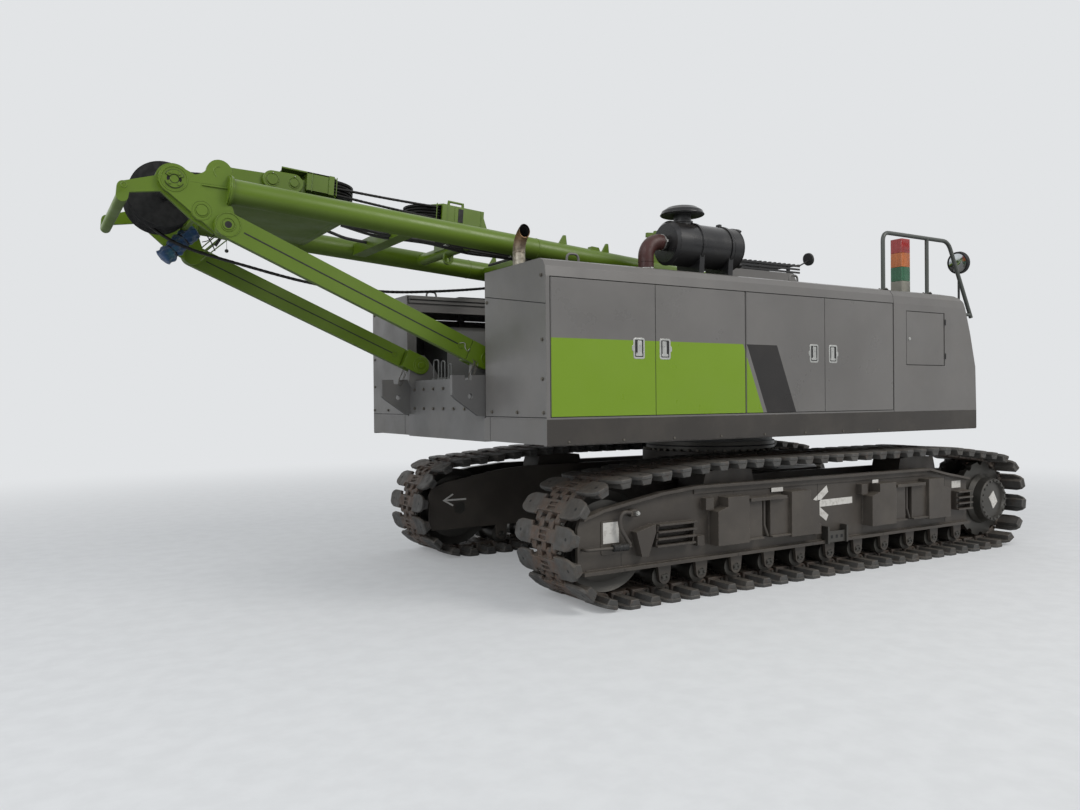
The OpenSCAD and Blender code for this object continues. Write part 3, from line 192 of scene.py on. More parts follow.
class Graph:
    """A node tree in the making, of a material or of the world."""

    def __init__(self, tree):
        self.tree = tree

    def node(self, kind, settings=None, values=None, out=0):
        """Adds a node of any kind: its settings first, then its sockets' values or links."""
        made = self.tree.nodes.new(kind)
        for key, value in (settings or {}).items():
            setattr(made, key, value)
        for key, value in (values or {}).items():
            self.feed(made.inputs[key], value)
        return Value(self, made.outputs[out])

    def feed(self, socket, value):
        """Links a value to a socket, or sets the socket to a plain number or tone."""
        if isinstance(value, Value):
            self.tree.links.new(value.socket, socket)
        else:
            socket.default_value = value


class Paint(Graph):
    """A material in the making, round one Principled shader."""

    def __init__(self, name, base, roughness=0.5, metallic=0.0, **shader):
        self.material = bpy.data.materials.new(name)
        self.material.use_nodes = True
        super().__init__(self.material.node_tree)
        self.shader = self.tree.nodes["Principled BSDF"]
        self.material.diffuse_color = (*base, 1)
        self.set("Base Color", (*base, 1))
        self.set("Roughness", roughness)
        self.set("Metallic", metallic)
        for key, value in shader.items():
            self.set(key.replace("_", " ").title().replace("Ior", "IOR"), value)

    def set(self, socket, value):
        self.feed(self.shader.inputs[socket], value)

    def done(self, colour, roughness=None, normal=None):
        """The finished material, with its colour and, if they are given, its roughness and normal."""
        for socket, value in (("Base Color", colour), ("Roughness", roughness), ("Normal", normal)):
            if value is not None:
                self.set(socket, value)
        return self.material

    def place(self):
        """Object coordinates, which every piece shares because its object sits at the origin."""
        return self.node("ShaderNodeTexCoord", out="Object")

    def axis(self, name):
        """One of the object coordinates."""
        return self.node("ShaderNodeSeparateXYZ", values={0: self.place()}, out=name)

    def facing(self, name):
        """One component of the surface's direction: Z is 1 on a level top."""
        normal = self.node("ShaderNodeNewGeometry", out="Normal")
        return self.node("ShaderNodeSeparateXYZ", values={0: normal}, out=name)

    def noise(self, scale, detail=4.0, roughness=0.55):
        """Cloudy noise."""
        return self.node("ShaderNodeTexNoise", values={"Vector": self.place(), "Scale": scale,
                                                       "Detail": detail, "Roughness": roughness})

    def mix(self, factor, first, second):
        """One colour over another by a mask."""
        first, second = ((*c, 1) if isinstance(c, tuple) else c for c in (first, second))
        return self.node("ShaderNodeMix", {"data_type": "RGBA"}, {0: factor, 6: first, 7: second}, out=2)

    def scaled(self, tone, factor):
        """A colour times a factor."""
        return self.node("ShaderNodeVectorMath", {"operation": "SCALE"}, {0: tone, "Scale": factor})

    def bump(self, height, distance, strength=1.0, edges=0.0):
        """Relief from a height, over edges rounded to a radius."""
        values = {"Height": height, "Distance": distance, "Strength": strength}
        if edges:
            values["Normal"] = self.soft_edges(edges)
        return self.node("ShaderNodeBump", values=values)

    def soft_edges(self, radius):
        """The normal of edges rounded to a radius."""
        return self.node("ShaderNodeBevel", {"samples": 4}, {"Radius": radius})

    def edges(self, radius):
        """A mask that is 1 on edges sharper than the radius and 0 on flat faces."""
        normal = self.node("ShaderNodeNewGeometry", out="Normal")
        same = self.node("ShaderNodeVectorMath", {"operation": "DOT_PRODUCT"},
                         {0: self.soft_edges(radius), 1: normal}, out="Value")
        return (1.0 - same).to(0.01, 0.18)


# Shapes

# For each axis: the two coordinates across it and the one along it
PLANES = {"x": (1, 2, 0), "y": (0, 2, 1), "z": (0, 1, 2)}
# Points nearer to each other than this are merged
MERGE = 2e-5
# A hexagon's width over its flats as a share of its width over its corners
FLATS = 0.866


class Shape:
    """Points and faces of a piece in the making. Faces with the same number of corners share an array."""

    def __init__(self, points, faces):
        self.points = np.asarray(points, float).reshape(-1, 3)
        self.faces = faces

    def placed(self, shift=(0, 0, 0), turn=None):
        """Turned by a 3 x 3 matrix and then shifted."""
        points = self.points if turn is None else self.points @ np.asarray(turn, float).T
        return Shape(points + np.asarray(shift, float), self.faces)

    def copies(self, shifts, turns=None):
        """One copy for each shift: its points are the turned points plus the shift."""
        shifts = np.asarray(shifts, float).reshape(-1, 3)
        turns = np.eye(3)[None] if turns is None else np.asarray(turns, float).reshape(-1, 3, 3)
        turns = np.broadcast_to(turns, (len(shifts), 3, 3))
        points = np.einsum("nij,pj->npi", turns, self.points) + shifts[:, None]
        starts = np.arange(len(shifts))[:, None, None] * len(self.points)
        return Shape(points, [(faces[None] + starts).reshape(-1, faces.shape[1]) for faces in self.faces])

    def mirrored(self, axis=1):
        """The mirror image across an axis."""
        return Shape(self.points * np.where(np.arange(3) == axis, -1.0, 1.0), self.faces)

    def both(self):
        """The shape and its mirror image across Y."""
        return join(self, self.mirrored())


def join(*shapes):
    """Several shapes as one, with the corner numbers of each moved past those before it."""
    starts = np.cumsum([0] + [len(shape.points) for shape in shapes])
    faces = [group + start for shape, start in zip(shapes, starts) for group in shape.faces]
    return Shape(np.concatenate([shape.points for shape in shapes]), faces)


def skin(grid, caps=True, loop=False):
    """Faces between the neighbouring points of a grid whose columns run round and whose rows run along."""
    rows, columns = grid.shape[:2]
    index = np.arange(rows * columns).reshape(rows, columns)
    round_it = np.concatenate([index, index[:, :1]], 1)
    if loop:
        round_it = np.concatenate([round_it, round_it[:1]], 0)
    corners = round_it[:-1, :-1], round_it[:-1, 1:], round_it[1:, 1:], round_it[1:, :-1]
    faces = [np.stack(corners, -1).reshape(-1, 4)]
    if caps and not loop:
        faces += [index[:1, ::-1], index[-1:]]
    return Shape(grid, faces)


def inset(outline, depth):
    """An outline drawn inwards: each corner slides along its bisector, and further where it is sharp."""
    outline = np.asarray(outline, float)
    ahead = np.roll(outline, -1, 0) - outline
    ahead /= np.linalg.norm(ahead, axis=1)[:, None]
    following = np.roll(outline, -1, 0)
    area = np.sum(outline[:, 0] * following[:, 1] - following[:, 0] * outline[:, 1])
    inward = np.sign(area) * np.stack([-ahead[:, 1], ahead[:, 0]], 1)
    bisector = inward + np.roll(inward, 1, 0)
    return outline + depth * bisector * 2 / np.maximum((bisector ** 2).sum(1), 0.3)[:, None]


def bent(points, radius, steps=6):
    """An open path whose inner corners are cut back by the radius and bridged by quadratic curves."""
    points = np.asarray(points, float)
    inner = points[1:-1]
    back, on = points[:-2] - inner, points[2:] - inner
    reach = np.linalg.norm(back, axis=1), np.linalg.norm(on, axis=1)
    cut = np.minimum(radius, 0.49 * np.minimum(*reach))[:, None]
    start, end = inner + back / reach[0][:, None] * cut, inner + on / reach[1][:, None] * cut
    t = np.linspace(0, 1, steps + 1)[None, :, None]
    curve = (1 - t) ** 2 * start[:, None] + 2 * t * (1 - t) * inner[:, None] + t ** 2 * end[:, None]
    return np.concatenate([points[:1], curve.reshape(-1, points.shape[1]), points[-1:]])


def rounded(corners, radius, steps=4):
    """A closed outline with rounded corners."""
    corners = np.asarray(corners, float)
    return bent(np.concatenate([corners[-1:], corners, corners[:1]]), radius, steps)[1:-1]


def rounded_box(width, height, radius, centre=(0, 0), steps=3):
    """A rectangle's outline with rounded corners."""
    half = np.array([width, height]) / 2
    low, high = centre - half, centre + half
    return rounded([low, (high[0], low[1]), high, (low[0], high[1])], radius, steps)


def oval(width, count, power=1.0):
    """A closed outline: each coordinate is a cosine or sine, its size raised to a power that squares it."""
    angles = np.linspace(0, 2 * np.pi, count, endpoint=False)
    wave = np.stack([np.cos(angles), np.sin(angles)], 1)
    return np.sign(wave) * np.abs(wave) ** power * width / 2


def box_outline(low, high, chamfer=0.0):
    """A rectangle, its corners cut by the chamfer."""
    (a, b), (c, d) = low, high
    corners = [(a, b), (c, b), (c, d), (a, d)]
    return rounded(corners, chamfer, 1) if chamfer else np.array(corners, float)


def prism(outline, low, high, bevel=0.0, axis="y"):
    """An outline carried along an axis from low to high, drawn inwards by the bevel at both ends."""
    outline = np.asarray(outline, float)
    if not bevel:
        return stacked((outline, outline), (low, high), axis)
    ends = inset(outline, bevel)
    return stacked((ends, outline, outline, ends), (low, low + bevel, high - bevel, high), axis)


def stacked(rings, levels, axis, loop=False):
    """A skin over outlines that each lie square to an axis at their own level."""
    grid = np.zeros((len(levels), len(rings[0]), 3))
    first, second, third = PLANES[axis]
    for row, ring, level in zip(grid, rings, levels):
        row[:, first], row[:, second], row[:, third] = ring[:, 0], ring[:, 1], level
    return skin(grid, loop=loop)


def block(low, high, bevel=0.0):
    """A box with chamfered edges."""
    return prism(box_outline(low[:2], high[:2], bevel), low[2], high[2], bevel, "z")


def rim(outline, width, low, high, axis="y"):
    """A flat ring between an outline and the same drawn inwards by the width."""
    inner = inset(outline, width)
    return stacked((outline, outline, inner, inner), (low, high, high, low), axis, loop=True)


def lathe(profile, segments=48, axis="z", centre=(0, 0, 0), loop=False):
    """A profile of radius and level turned about an axis: radius times cosine and sine across it."""
    profile = np.asarray(profile, float)
    angles = np.linspace(0, 2 * np.pi, segments, endpoint=False)
    grid = np.zeros((len(profile), segments, 3))
    first, second, third = PLANES[axis]
    grid[..., first] = profile[:, :1] * np.cos(angles)
    grid[..., second] = profile[:, :1] * np.sin(angles)
    grid[..., third] = profile[:, 1:]
    return skin(grid, caps=False, loop=loop).placed(centre)


def disc(radius, low, high, segments=32, bevel=0.002, axis="z", centre=(0, 0, 0)):
    """A round plate or rod with chamfered rims."""
    profile = [(0, low), (radius - bevel, low), (radius, low + bevel), (radius, high - bevel),
               (radius - bevel, high), (0, high)]
    return lathe(profile, segments, axis, centre)


def washer(outer, inner, low, high, segments=32, axis="z", centre=(0, 0, 0)):
    """A flat round ring."""
    return lathe([(outer, low), (outer, high), (inner, high), (inner, low)], segments, axis, centre, True)


def across(path):
    """Two directions square to a path at each of its points, worked out from one fixed direction."""
    ahead = np.gradient(path, axis=0)
    ahead /= np.linalg.norm(ahead, axis=1)[:, None]
    fixed = np.eye(3)[np.argmin(np.abs(ahead).max(0))]
    first = np.cross(ahead, fixed)
    first /= np.linalg.norm(first, axis=1)[:, None]
    return first, np.cross(ahead, first)


def tube(path, radius, sides=12, loop=False):
    """A round tube: path + radius (cosine times one direction across it + sine times the other)."""
    path = np.asarray(path, float)
    whole = np.concatenate([path[-1:], path, path[:1]]) if loop else path
    first, second = (way[1:-1] if loop else way for way in across(whole))
    angles = np.linspace(0, 2 * np.pi, sides, endpoint=False)[None, :, None]
    radius = np.broadcast_to(radius, len(path))[:, None, None]
    grid = path[:, None] + radius * (np.cos(angles) * first[:, None] + np.sin(angles) * second[:, None])
    return skin(grid, loop=loop)


def spaced(path, step, more=0):
    """Points at an even distance along a path; more adds to their number."""
    path = np.asarray(path, float)
    along = np.concatenate([[0], np.cumsum(np.linalg.norm(np.diff(path, axis=0), axis=1))])
    even = np.linspace(0, along[-1], max(2, round(along[-1] / step)) + more)
    return np.stack([np.interp(even, along, column) for column in path.T], 1)


def rope(path, diameter, strands=4, sides=16):
    """A laid rope: the radius swells and shrinks round it, and the pattern turns as it runs along."""
    lay = diameter * 7
    path = spaced(path, lay / 9)
    along = np.arange(len(path)) * lay / 9
    first, second = across(path)
    angles = np.linspace(0, 2 * np.pi, sides, endpoint=False)
    swell = np.cos((angles[None] - 2 * np.pi * along[:, None] / lay) * strands)
    radius = (diameter / 2 * (0.92 + 0.08 * swell))[..., None]
    around = np.cos(angles)[None, :, None] * first[:, None] + np.sin(angles)[None, :, None] * second[:, None]
    return skin(path[:, None] + radius * around)


def hexagon(across_flats):
    """A hexagon of a width over its flats."""
    return oval(across_flats / FLATS, 6)


def bolt(size, axis="y"):
    """A bolt's head on its washer, standing on the plane at zero and pointing along an axis."""
    head = prism(hexagon(size), size * 0.12, size * 0.62, size * 0.07, axis)
    return join(head, disc(size * 0.68, -0.001, size * 0.12, 12, size * 0.03, axis))


def bolts(places, size, axis="y", away=1):
    """Bolt heads at places, pointing along an axis or against it."""
    head = bolt(size, axis)
    if away < 0:
        head = head.mirrored("xyz".index(axis))
    return head.copies(places)


def ring_of(count, radius, centre, axis="y", start=0.0):
    """Places round a circle."""
    angles = start + np.arange(count) * 2 * np.pi / count
    places = np.zeros((count, 3))
    first, second, _ = PLANES[axis]
    places[:, first], places[:, second] = radius * np.cos(angles), radius * np.sin(angles)
    return places + centre


def hoop(count, radius, centre, section, axis="y", sides=6):
    """A closed ring of round section."""
    return tube(ring_of(count, radius, centre, axis), section, sides, loop=True)


def turn_y(angle):
    """A turn about Y that lifts -X as the angle grows."""
    s, c = math.sin(angle), math.cos(angle)
    return np.array([[c, 0, s], [0, 1, 0], [-s, 0, c]])


def turns_x(angles):
    """One turn about X for each angle."""
    turns = np.zeros((len(angles), 3, 3))
    turns[:, 0, 0] = 1
    turns[:, 1, 1] = turns[:, 2, 2] = np.cos(angles)
    turns[:, 1, 2], turns[:, 2, 1] = -np.sin(angles), np.sin(angles)
    return turns


# Frames in which pieces are laid out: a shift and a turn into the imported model's frame
CENTRE = (np.array([SLEW_X, 0.0, 0.0]), np.eye(3))
ON_MAST = (MAST_FOOT * (1, 0, 1), turn_y(MAST_TILT))
ON_LEG = (joint_place("leg_swing") * (1, 0, 1), turn_y(LEG_TILT))


def make_piece(name, shape, finish_name, body="upperworks", on=CENTRE, sharp=38.0):
    """Puts a shape into a mesh: doubles merged, faces turned outwards, soft but for its sharp edges."""
    shape = shape.placed(*on)
    mesh = bpy.data.meshes.new(name)
    mesh.from_pydata(shape.points.tolist(), [], [row for group in shape.faces for row in group.tolist()])
    work = bmesh.new()
    work.from_mesh(mesh)
    bmesh.ops.remove_doubles(work, verts=work.verts, dist=MERGE)
    bmesh.ops.recalc_face_normals(work, faces=work.faces)
    work.to_mesh(mesh)
    work.free()
    mesh.shade_smooth()
    mesh.set_sharp_from_angle(angle=math.radians(sharp))
    mesh.materials.append(finish(finish_name))
    piece = bpy.data.objects.new(name, mesh)
    bpy.context.collection.objects.link(piece)
    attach(piece, body)
    return piece


def on_sides(name, shape, finish_name, body="upperworks", **settings):
    """Two pieces: a shape laid out on the right side, and its mirror image on the left."""
    make_piece(f"{name}_r", shape, finish_name, body, **settings)
    make_piece(f"{name}_l", shape.mirrored(), finish_name, body, **settings)


def on_ground(name, shape, finish_name, **settings):
    """A piece of the undercarriage."""
    return make_piece(name, shape, finish_name, "undercarriage", **settings)


def on_frames(name, shape, finish_name, **settings):
    """Two pieces of the undercarriage, on its right track frame and mirrored on its left."""
    on_sides(name, shape, finish_name, "undercarriage", **settings)


def on_mast(name, shape, finish_name, **settings):
    """A piece that rides on the mast and is laid out in its frame."""
    return make_piece(name, shape, finish_name, "mast", ON_MAST, **settings)


# Finishes

# The lime field and the stripe: their heights, and their ends along X + lean x Z from the slewing axis
FIELD_Z = (1.397, 1.942)
STRIPE_LEAN = 0.402
FIELD_END = -0.370
STRIPE_AT = (-0.329, 0.006)


def toned(base, factor, lift=0.0):
    """A tone times a factor plus a lift, no channel above 1."""
    return tuple(min(1.0, c * factor + lift) for c in base)


def dust(paint, base, tone, amount, rise=0.0):
    """Dust over a colour: thick on level tops, thin and cloudy elsewhere."""
    top = paint.facing("Z").to(0.35, 0.95)
    cloud = paint.noise(2.3, 6, 0.6).to(0.42, 0.72)
    fine = paint.noise(38, 3).to(0.35, 0.7)
    return paint.mix(((top * 0.75 + rise) * (0.4 + 0.6 * fine) + cloud * 0.35) * amount, base, tone)


def painted(name, base, roughness, dirt, wear, worn=(0.32, 0.31, 0.29), bevel=0.003, pattern=None):
    """Sprayed enamel on steel: orange peel, cloudy tone, dust on tops, rubbed edges and painted shade on
    undersides.
    """
    paint = Paint(name, base, roughness, specular_ior_level=0.45)
    body = paint.mix(paint.noise(0.9, 5, 0.6).to(0.3, 0.7), toned(base, 0.9), toned(base, 1.08, 0.002))
    if pattern:
        body = pattern(paint, body)
    body = dust(paint, body, srgb(128, 120, 108), dirt)
    # Painted shade: faces that look down are darkened to half their colour, and made more matte
    lit = paint.facing("Z").to(-0.9, -0.1)
    body = paint.scaled(body, lit * 0.5 + 0.5)
    chips = paint.edges(bevel * 1.6) * paint.noise(24, 5, 0.65).to(0.44, 0.62)
    body = paint.mix(chips * wear, body, worn)
    peel = paint.bump(paint.noise(260, 2), 0.0006, 0.25, bevel)
    matt = paint.noise(3.1, 5, 0.6).to(0.3, 0.75, roughness - 0.06, roughness + 0.16)
    return paint.done(body, matt + (1.0 - lit) * 0.35, peel)


def livery(paint, body):
    """The doors' lime field and slanted dark stripe, on the outer faces of both sides."""
    colours = bpy.context.scene.crane_colours
    z = paint.axis("Z")
    slant = paint.axis("X") - SLEW_X + z * STRIPE_LEAN
    outer = abs(paint.axis("Y")) > HOUSE_SIDE - 0.004
    band = (z > FIELD_Z[0]) * (z < FIELD_Z[1]) * outer
    body = paint.mix(band * (slant < FIELD_END), body, tuple(colours.field))
    return paint.mix(band * (slant > STRIPE_AT[0]) * (slant < STRIPE_AT[1]), body, tuple(colours.stripe))


def grey_rear(paint, body):
    """Skirt paint that gives way to panel grey on faces that look to the rear."""
    colours = bpy.context.scene.crane_colours
    return paint.mix(paint.facing("X") < -0.6, body, tuple(colours.panel))


def cast(name, base, roughness=0.62, mud=0.6, polish=0.5, metallic=0.25, pattern=None):
    """Cast and rolled steel of the running gear: scale, mud on tops and in clouds, and rubbed edges."""
    paint = Paint(name, base, roughness, metallic)
    rust = paint.noise(13, 6, 0.7).to(0.5, 0.72)
    body = paint.mix(paint.noise(5.5, 8, 0.68).to(0.32, 0.7), toned(base, 0.72), toned(base, 1.25))
    body = paint.mix(rust * 0.35, body, srgb(84, 60, 44))
    if pattern:
        body = pattern(paint, body)
    body = dust(paint, body, srgb(112, 103, 92), mud, 0.06)
    rubbed = paint.edges(0.006) * paint.noise(30, 4).to(0.38, 0.6)
    body = paint.mix(rubbed * polish, body, srgb(142, 134, 124))
    rough = paint.noise(17, 5).to(0.3, 0.7, roughness - 0.14, roughness + 0.2)
    return paint.done(body, rough, paint.bump(paint.noise(70, 6, 0.7), 0.004, 0.45, 0.005))


def worn_middle(paint, body):
    """Brown rust along the middle of each track, where the lugs rub."""
    off = abs(abs(paint.axis("Y")) - TRACK_Y)
    near = 1.0 - off.to(0.13, 0.21)
    return paint.mix(near * paint.noise(21, 6, 0.7).to(0.3, 0.62) * 0.75, body, srgb(98, 76, 62))


def plain(name, base, roughness=0.5, metallic=0.0, grain=90, relief=0.0008, dirt=0.25, **shader):
    """Rubber, plastic and bare metal: a fine grain, a cloudy tone and a little dust."""
    paint = Paint(name, base, roughness, metallic, **shader)
    body = paint.mix(paint.noise(7, 5, 0.6).to(0.3, 0.7), toned(base, 0.82), toned(base, 1.15))
    body = dust(paint, body, srgb(120, 112, 100), dirt)
    rough = paint.noise(23, 4).to(0.3, 0.7, max(0.04, roughness - 0.08), min(1.0, roughness + 0.14))
    return paint.done(body, rough, paint.bump(paint.noise(grain, 4), relief, 0.5, 0.0015))


def burnt(name, base):
    """Exhaust steel: tan and grey heat stain in clouds, darker round the bend, with spots of rust."""
    paint = Paint(name, base, 0.42, 0.75)
    body = paint.mix(paint.axis("Z").to(ROOF + 0.06, ROOF + 0.24), srgb(172, 166, 152), srgb(118, 88, 58))
    body = paint.mix(paint.noise(19, 7, 0.7).to(0.42, 0.66) * 0.6, body, srgb(74, 60, 48))
    body = paint.mix(paint.noise(60, 5, 0.7).to(0.6, 0.72) * 0.7, body, srgb(112, 62, 38))
    body = paint.mix(paint.axis("Z").to(ROOF + 0.225, ROOF + 0.285), body, srgb(26, 23, 21))
    rough = paint.noise(33, 5).to(0.3, 0.7, 0.3, 0.62)
    return paint.done(body, rough, paint.bump(paint.noise(140, 5), 0.0012, 0.5))


def woven(name, base, thread=0.0016, cloud=None):
    """Cloth: the threads' relief is the product of two sine waves across each other, over a cloudy tone."""
    paint = Paint(name, base, 0.86, sheen_weight=0.35, sheen_roughness=0.5)
    turn = 2 * math.pi / thread
    x, y, z = (paint.axis(letter) for letter in "XYZ")
    weave = ((x + z) * turn).sine() * ((y + z) * turn).sine()
    body = paint.mix(weave * 0.5 + 0.5, toned(base, 0.7), toned(base, 1.3))
    body = paint.mix(paint.noise(9, 5).to(0.45, 0.75) * 0.5, body, cloud or toned(base, 2.2, 0.01))
    return paint.done(body, normal=paint.bump(weave, thread * 0.4, 0.6))


def lens(name, base):
    """A moulded lamp lens: clear coat over a deep colour, a little paler with dust."""
    paint = Paint(name, base, 0.28, coat_weight=0.6, coat_roughness=0.12)
    body = paint.mix(paint.noise(16, 5).to(0.35, 0.7) * 0.35, base, toned(base, 1.5, 0.03))
    return paint.done(body, paint.noise(40, 4).to(0.3, 0.7, 0.2, 0.4))


def glass(name, base):
    """A tinted pane with faint smears."""
    paint = Paint(name, base, 0.04, transmission_weight=0.92, ior=1.45)
    paint.set("Roughness", paint.noise(3, 6, 0.7).to(0.45, 0.8, 0.02, 0.14))


def blank_label(name, base):
    """A white film plate, smudged and yellowed a little in clouds."""
    paint = Paint(name, base, 0.45)
    body = paint.mix(paint.noise(24, 6, 0.7).to(0.45, 0.7) * 0.4, base, srgb(120, 112, 100))
    return paint.done(body, paint.noise(30, 4).to(0.3, 0.7, 0.35, 0.6))


# Each finish: the record's slot that it stands for, its recipe, its tone as display values or as the name of
# a colour that a user may change, and what else the recipe takes
FINISHES = {
    "lime_enamel": ("lime_paint", painted, "lime", dict(
        roughness=0.34, dirt=0.06, wear=0.25, worn=srgb(150, 168, 96))),
    "livery_enamel": ("lime_door_paint", painted, "panel", dict(
        roughness=0.32, dirt=0.08, wear=0.25, pattern=livery)),
    "panel_enamel": ("grey_paint", painted, "panel", dict(roughness=0.34, dirt=0.2, wear=0.3)),
    "frame_enamel": ("grey_paint", painted, "frame", dict(roughness=0.4, dirt=0.3, wear=0.4)),
    "skirt_enamel": ("skirt_paint", painted, "skirt", dict(
        roughness=0.4, dirt=0.25, wear=0.4, pattern=grey_rear)),
    "chassis_enamel": ("undercarriage_paint", painted, "chassis", dict(
        roughness=0.48, dirt=0.4, wear=0.75, worn=srgb(128, 118, 106), bevel=0.004)),
    "machine_black": ("engine_paint", painted, (34, 34, 35), dict(roughness=0.38, dirt=0.3, wear=0.4)),
    "drum_steel": ("winch_steel", painted, (62, 62, 60), dict(roughness=0.4, dirt=0.3, wear=0.5)),
    "tank_enamel": ("tank_paint", painted, (112, 113, 112), dict(roughness=0.36, dirt=0.25, wear=0.3)),
    "cleaner_enamel": ("cleaner_paint", painted, (30, 30, 32), dict(roughness=0.24, dirt=0.16, wear=0.2)),
    "rail_enamel": ("rail_paint", painted, (74, 78, 74), dict(roughness=0.38, dirt=0.15, wear=0.3)),
    "guard_enamel": ("guard_paint", painted, (32, 32, 33), dict(roughness=0.4, dirt=0.25, wear=0.35)),
    "shoe_steel": ("track_steel", cast, "shoe", dict(pattern=worn_middle)),
    "running_steel": ("running_steel", cast, (58, 53, 48), dict(mud=0.5)),
    "black_steel": ("sheave_steel", plain, (8, 8, 8), dict(roughness=0.72, metallic=0.1, dirt=0.02)),
    "wire_rope": ("winch_steel", plain, (20, 19, 18), dict(
        metallic=0.4, grain=200, relief=0.0012, dirt=0.06)),
    "bolt_steel": ("winch_steel", plain, (104, 100, 92), dict(
        roughness=0.42, metallic=0.7, grain=200, dirt=0.3)),
    "bright_steel": ("winch_steel", plain, (190, 190, 186), dict(
        roughness=0.28, metallic=0.9, grain=300, relief=0.0004, dirt=0.08)),
    "hose_rubber": ("elbow_rubber", plain, (24, 24, 24), dict(roughness=0.55, grain=160, dirt=0.2)),
    "seal_rubber": ("guard_paint", plain, (15, 15, 16), dict(roughness=0.6, grain=220, dirt=0.05)),
    "elbow_silicone": ("elbow_rubber", plain, "elbow", dict(
        roughness=0.46, grain=40, relief=0.002, dirt=0.15)),
    "black_plastic": ("mirror_housing", plain, (26, 26, 27), dict(
        roughness=0.4, grain=400, relief=0.0004, dirt=0.12)),
    "mirror_glass": ("mirror_housing", plain, (220, 224, 226), dict(
        roughness=0.03, metallic=1.0, grain=5, relief=0.00002, dirt=0.05)),
    "seat_shell": ("seat_cover", plain, (34, 34, 36), dict(grain=300, relief=0.0006, dirt=0.2)),
    "lamp_body": ("lamp_lens", plain, (140, 138, 128), dict(
        roughness=0.45, grain=200, relief=0.0004, dirt=0.2)),
    "heat_stained": ("exhaust_rust", burnt, (120, 104, 80), {}),
    "seat_cloth": ("seat_cover", woven, (44, 44, 48), {}),
    "wrap_cloth": ("seat_cover", woven, (22, 62, 104), dict(thread=0.005, cloud=srgb(26, 100, 92))),
    "pane": ("window_glass", glass, (206.4, 220.6, 223.3), {}),
    "label_film": ("grey_paint", blank_label, (212, 210, 205), {}),
    "lens_red": ("lamp_lens", lens, (156, 44, 42), {}),
    "lens_amber": ("lamp_lens", lens, (188, 104, 44), {}),
    "lens_green": ("lamp_lens", lens, (30, 96, 62), {}),
    "lens_clear": ("lamp_lens", lens, (200, 202, 196), {}),
}


def finish(name):
    """A finish by its name, made when it is first asked for."""
    if name not in bpy.data.materials:
        _, recipe, tone, settings = FINISHES[name]
        if isinstance(tone, str):
            tone = tuple(getattr(bpy.context.scene.crane_colours, tone))
        else:
            tone = srgb(*tone)
        recipe(name, tone, **settings)
    return bpy.data.materials[name]


# Stage

CAMERA_AT = np.array([-4.702, -6.581, 1.519])
CAMERA_YAW = math.radians(31.4076)
CAMERA_PITCH = math.radians(-0.355)
CAMERA_ROLL = math.radians(-0.529)
FOCAL_PX = 857.39
IMAGE_W = 1080
SENSOR = 36.0
# The floor fades into the background between these distances, and a share of it does so everywhere
FADE = (4.5, 15.0)
FADE_NEAR = 0.25
FLOOR_RADIUS = 120
# How brightly the background lights the object, as a share of its tone to the camera
SKY_SHARE = 0.62
# Each lamp: its place, its target, its size, its power and its tone
LAMPS = {"key": ((4.5, -10.0, 9.5), (0.0, 0.0, 1.2), 5.0, 640, (1.0, 0.97, 0.93)),
         "rear": ((-10.0, -4.0, 8.0), (0.0, 0.0, 1.4), 7.0, 390, (0.96, 0.98, 1.0))}


def camera_matrix():
    """Forward from yaw and pitch, right level, then both rolled about forward."""
    sy, cy = math.sin(CAMERA_YAW), math.cos(CAMERA_YAW)
    sp, cp = math.sin(CAMERA_PITCH), math.cos(CAMERA_PITCH)
    sr, cr = math.sin(CAMERA_ROLL), math.cos(CAMERA_ROLL)
    forward = np.array([sy * cp, cy * cp, sp])
    level = np.array([cy, -sy, 0.0])
    over = np.cross(level, forward)
    right = cr * level + sr * over
    above = cr * over - sr * level
    turned = np.eye(4)
    turned[:3] = np.stack([right, above, -forward, CAMERA_AT], 1)
    return Matrix(turned.tolist())


def add_light(name, place, target, size, power, tone):
    """A square area light at a place, facing a target."""
    light = bpy.data.lights.new(name, "AREA")
    light.size = size
    light.energy = power
    light.color = tone
    lamp = bpy.data.objects.new(name, light)
    bpy.context.collection.objects.link(lamp)
    away = Vector(place) - Vector(target)
    lamp.matrix_world = Matrix.Translation(place) @ away.to_track_quat("Z", "Y").to_matrix().to_4x4()


